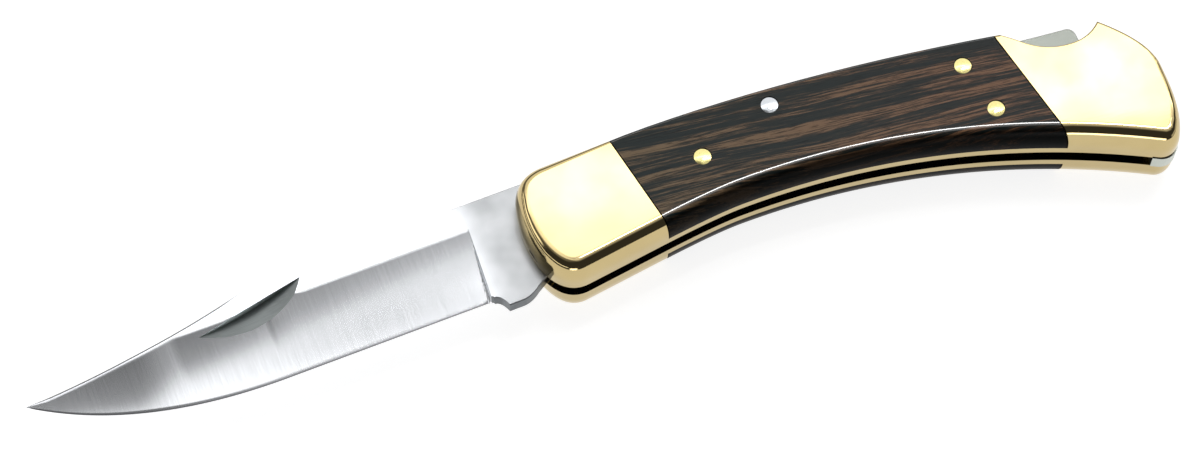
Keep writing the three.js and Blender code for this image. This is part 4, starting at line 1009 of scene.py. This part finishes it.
# the hollow keeps the coarser lines of its large wheel and is greyer than the flats, more so
# towards the handle
hollow_steel, tree, shader = new_material("stainless_steel_wheel_lines")
place = add_node(tree, "ShaderNodeTexCoord").outputs["Object"]
wheel_scale = add_node(tree, "ShaderNodeMapping",
                       {"Vector": place, "Scale": repeats(0.1538, 11.11, 11.11)})
wheel_lines = add_node(tree, "ShaderNodeTexNoise",
                       {"Vector": wheel_scale.outputs["Vector"], "Scale": 1.0, "Detail": 4.0,
                        "Roughness": 0.7})
wheel_bump = add_node(tree, "ShaderNodeBump",
                      {"Strength": 0.07, "Distance": 0.00001, "Height": wheel_lines.outputs["Fac"]})
wheel_share = add_node(tree, "ShaderNodeMapRange",
                       {"Value": wheel_lines.outputs["Fac"], "From Min": 0.2, "From Max": 0.8})
near_handle = add_node(tree, "ShaderNodeMapRange",
                       {"Value": add_node(tree, "ShaderNodeSeparateXYZ", {"Vector": place}
                                          ).outputs["X"],
                        "From Min": -0.080, "From Max": -0.045}, interpolation_type="SMOOTHSTEP")
dark_lines = add_node(tree, "ShaderNodeMix",
                      {"Factor": near_handle.outputs["Result"],
                       "A": sheet_colour("cacccf"), "B": sheet_colour("bfc1c4")}, data_type="RGBA")
light_lines = add_node(tree, "ShaderNodeMix",
                       {"Factor": near_handle.outputs["Result"],
                        "A": sheet_colour("dfe1e4"), "B": sheet_colour("d2d4d7")}, data_type="RGBA")
hollow_tone = add_node(tree, "ShaderNodeMix",
                       {"Factor": wheel_share.outputs["Result"],
                        "A": dark_lines.outputs["Result"], "B": light_lines.outputs["Result"]},
                       data_type="RGBA")
set_inputs(tree, shader, {"Base Color": hollow_tone.outputs["Result"],
                          "Normal": wheel_bump.outputs["Normal"], "Metallic": 1.0,
                          "Roughness": 0.13})
# the tang's and the kick's profile is left as it was blanked, and rougher; its darker colour is a
# painted shade
blanked_and_shaded_steel, tree, shader = new_material("stainless_steel_blanked_edge_painted_shade")
place = add_node(tree, "ShaderNodeTexCoord").outputs["Object"]
tear_scale = add_node(tree, "ShaderNodeMapping",
                      {"Vector": place, "Scale": repeats(1.111, 1.111, 5.556)})
tears = add_node(tree, "ShaderNodeTexNoise",
                 {"Vector": tear_scale.outputs["Vector"], "Scale": 1.0, "Detail": 3.0})
blanked_tone_with_painted_shade = add_node(tree, "ShaderNodeMix",
                        {"Factor": tears.outputs["Fac"],
                         "A": sheet_colour("4c5053"), "B": sheet_colour("7c8184")}, data_type="RGBA")
set_inputs(tree, shader, {"Base Color": blanked_tone_with_painted_shade.outputs["Result"], "Metallic": 1.0,
                          "Roughness": 0.36})
# the nick shows the coarser lines of its own small wheel, and is greyer than the flats
nick_steel, tree, shader = new_material("stainless_steel_nick_ground")
place = add_node(tree, "ShaderNodeTexCoord").outputs["Object"]
nick_scale = add_node(tree, "ShaderNodeMapping",
                      {"Vector": place, "Rotation": (0.0, 0.0, -NICK_TURN),
                       "Scale": repeats(8.333, 0.3125, 0.3125)})
nick_lines = add_node(tree, "ShaderNodeTexNoise",
                      {"Vector": nick_scale.outputs["Vector"], "Scale": 1.0, "Detail": 2.0})
nick_tone = add_node(tree, "ShaderNodeMix",
                     {"Factor": nick_lines.outputs["Fac"],
                      "A": sheet_colour("aab2b2"), "B": sheet_colour("cfd5d5")}, data_type="RGBA")
set_inputs(tree, shader, {"Base Color": nick_tone.outputs["Result"], "Metallic": 1.0,
                          "Roughness": 0.36})
blade.data.materials[0] = blade_steel
blade.data.materials[1] = nick_steel
blade.data.materials[2] = blanked_and_shaded_steel
blade.data.materials[3] = hollow_steel
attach(blade, "blade")
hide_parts("blade")
# the tang's and the kick's side faces get the blanked steel, whose dark colour is a painted shade
for face in blade.data.polygons:
    if abs(face.normal.z) < 0.3 and face.center.x > RICASSO_END_X * MM:
        face.material_index = 2

# What the slot hides keeps its CAD shape: the back spacer, the leaf spring, the pivot's pin and
# sleeve, and the spacer's pins. They get the finish of the shop's steel and brass.
# the satin steel darkens their flat sides as well, a painted shade
for node_name in ("back_spacer", "leaf_spring", "pivot_bushing"):
    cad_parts[node_name].data.materials.clear()
    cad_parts[node_name].data.materials.append(satin_steel)
for node_name in ("pivot_pin", "spacer_pin_front", "spacer_pin_rear"):
    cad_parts[node_name].data.materials.clear()
    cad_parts[node_name].data.materials.append(polished_brass)

# The studio: the knife lies on white paper in a dim room, under a large soft box that hangs
# behind it, with low panels and strips around the table. The room in front is nearly dark,
# which gives the polished brass its dark edges.
deselect()
bpy.ops.mesh.primitive_plane_add(size=60, location=(0, 0, -0.02 * MM))
paper = bpy.context.object
paper.name = "white_paper"
bpy.ops.object.transform_apply(location=True, rotation=True, scale=True)
white_paper, tree, shader = new_material("white_paper_matt")
tree.nodes.remove(shader)
matt = add_node(tree, "ShaderNodeBsdfDiffuse", {"Color": (0.48, 0.48, 0.48, 1.0)})
glow = add_node(tree, "ShaderNodeEmission", {"Color": (1.0, 1.0, 1.0, 1.0), "Strength": 0.87})
lit = add_node(tree, "ShaderNodeAddShader", {0: matt.outputs[0], 1: glow.outputs[0]})
ray = add_node(tree, "ShaderNodeLightPath")
seen = add_node(tree, "ShaderNodeMath",
                {0: ray.outputs["Is Camera Ray"], 1: ray.outputs["Is Glossy Ray"]},
                operation="MAXIMUM")
seen_or_through = add_node(tree, "ShaderNodeMath",
                           {0: seen.outputs[0], 1: ray.outputs["Is Transmission Ray"]},
                           operation="MAXIMUM")
paper_look = add_node(tree, "ShaderNodeMixShader",
                      {0: seen_or_through.outputs[0], 1: matt.outputs[0], 2: lit.outputs[0]})
tree.links.new(paper_look.outputs[0], tree.nodes["Material Output"].inputs["Surface"])
paper.data.materials.append(white_paper)

world = bpy.data.worlds.new("dim_room_with_soft_box")
bpy.context.scene.world = world
world.use_nodes = True
tree = world.node_tree
way = add_node(tree, "ShaderNodeSeparateXYZ",
               {"Vector": add_node(tree, "ShaderNodeTexCoord").outputs["Generated"]})
height_up = add_node(tree, "ShaderNodeMath", {0: way.outputs["Z"], 1: 0.02}, operation="MAXIMUM")
across = add_node(tree, "ShaderNodeMath", {0: way.outputs["X"], 1: height_up.outputs[0]},
                  operation="DIVIDE")
behind = add_node(tree, "ShaderNodeMath", {0: way.outputs["Y"], 1: height_up.outputs[0]},
                  operation="DIVIDE")


def within(strength, *edges):
    """A strength inside soft edges, and 0 outside them. Each edge gives what it is measured
    along, where it starts and where it is full."""
    for along, start_at, full_at in edges:
        edge = add_node(tree, "ShaderNodeMapRange",
                        {"Value": along, "From Min": start_at, "From Max": full_at},
                        interpolation_type="SMOOTHSTEP").outputs["Result"]
        strength = add_node(tree, "ShaderNodeMath", {0: strength, 1: edge},
                            operation="MULTIPLY").outputs[0]
    return strength


side_way, back_way = across.outputs[0], behind.outputs[0]
to_right, to_back, upwards = (way.outputs[axis] for axis in "XYZ")
ceiling_edges = ((side_way, -0.42, -0.28), (side_way, 1.1, 0.85))
# over the blade, on the left, the box comes further forward and its front edge slants
blade_slant = add_node(tree, "ShaderNodeMath", {0: side_way, 1: 0.9, 2: 0.06},
                       operation="MULTIPLY_ADD").outputs[0]
box_way = add_node(tree, "ShaderNodeMath",
                   {0: within(blade_slant, (side_way, 0.165, 0.135)), 1: back_way},
                   operation="ADD").outputs[0]
box_glow = add_node(tree, "ShaderNodeMapRange",
                    {"Value": back_way, "From Min": 0.60, "From Max": 0.46,
                     "To Min": 1.05, "To Max": 1.40},
                    interpolation_type="SMOOTHSTEP").outputs["Result"]
duller_patch = within(-0.42, (side_way, 0.04, 0.10), (side_way, 0.19, 0.15),
                      (box_way, 0.345, 0.385), (back_way, 0.415, 0.385))
box_strength = add_node(tree, "ShaderNodeMath", {0: box_glow, 1: duller_patch, 2: box_glow},
                        operation="MULTIPLY_ADD").outputs[0]
soft_box = within(box_strength, *ceiling_edges, (box_way, 0.28, 0.33), (back_way, 1.4, 1.0))

# a bulb behind the box's cloth makes an oval brighter spot
BULB_SIDE, BULB_BACK, BULB_WIDTH, BULB_DEPTH = 0.2, 0.42, 0.42, 0.13
overhead = add_node(tree, "ShaderNodeCombineXYZ", {"X": side_way, "Y": back_way}).outputs[0]
around_bulb = add_node(tree, "ShaderNodeMapping",
                       {"Vector": overhead, "Scale": (1 / BULB_WIDTH, 1 / BULB_DEPTH, 1.0),
                        "Location": (-BULB_SIDE / BULB_WIDTH, -BULB_BACK / BULB_DEPTH, 0.0)})
from_bulb = add_node(tree, "ShaderNodeVectorMath", {0: around_bulb.outputs["Vector"]},
                     operation="LENGTH").outputs["Value"]
bulb = within(1.0, (from_bulb, 1.0, 0.0))

# a bar across the box, a dimmer ceiling in front of it, and a thin tube below its front edge
bar_way = add_node(tree, "ShaderNodeMath", {0: side_way, 1: 0.16, 2: back_way},
                   operation="MULTIPLY_ADD").outputs[0]
bar_glow = add_node(tree, "ShaderNodeMapRange",
                    {"Value": side_way, "From Min": 0.22, "From Max": 0.32,
                     "To Min": 2.0, "To Max": 3.6},
                    interpolation_type="SMOOTHSTEP").outputs["Result"]
bar = within(bar_glow, *ceiling_edges, (bar_way, 0.445, 0.467), (bar_way, 0.501, 0.477))
ceiling_glow = add_node(tree, "ShaderNodeMapRange",
                        {"Value": side_way, "From Min": 0.0, "From Max": 0.125,
                         "To Min": 0.2, "To Max": 0.88},
                        interpolation_type="SMOOTHSTEP").outputs["Result"]
ceiling = within(ceiling_glow, *ceiling_edges, (back_way, -0.32, 0.25), (box_way, 0.33, 0.28))
tube = within(16.0, (side_way, 0.15, 0.175), (side_way, 0.60, 0.52),
              (back_way, 0.235, 0.25), (back_way, 0.295, 0.28))

# what stands low around the table lights the knife's edges and walls
left_panel = within(2.0, (side_way, -1.85, -1.65), (side_way, -0.75, -0.95),
                    (back_way, 0.25, 0.4), (back_way, 1.3, 1.1))
left_strip = within(2.0, (upwards, 0.17, 0.20), (upwards, 0.27, 0.24), (to_right, -0.6, -0.7))
right_wall = within(0.6, (upwards, 0.03, 0.08), (upwards, 0.32, 0.26), (to_right, 0.45, 0.6))
front_strip = within(4.0, (to_right, -0.62, -0.5), (to_right, -0.1, -0.25),
                     (to_back, -0.5, -0.6), (upwards, 0.20, 0.15))
back_wall = within(0.15, (to_back, 0.05, 0.45))
light = 0.05
for lamp in (soft_box, bulb, bar, ceiling, tube, left_panel, left_strip, right_wall, front_strip,
             back_wall):
    light = add_node(tree, "ShaderNodeMath", {0: light, 1: lamp}, operation="ADD").outputs[0]
room = tree.nodes["Background"]
room.inputs["Color"].default_value = (1.0, 1.0, 1.0, 1.0)
tree.links.new(light, room.inputs["Strength"])

# The camera looks down on the knife's left side from in front, as in the photograph.
deselect()
camera_place = Vector((-88.20, -224.76, 536.30)) * MM
camera_aim = Vector((2.56, -2.02, 8.525)) * MM
bpy.ops.object.camera_add(location=camera_place)
camera = bpy.context.object
camera.rotation_euler = (camera_aim - camera_place).to_track_quat("-Z", "Y").to_euler()
camera.data.sensor_width = 36
camera.data.lens = 94.87
camera.data.clip_start, camera.data.clip_end = 0.01, 200
bpy.context.scene.camera = camera
bpy.context.scene.view_settings.view_transform = "Standard"
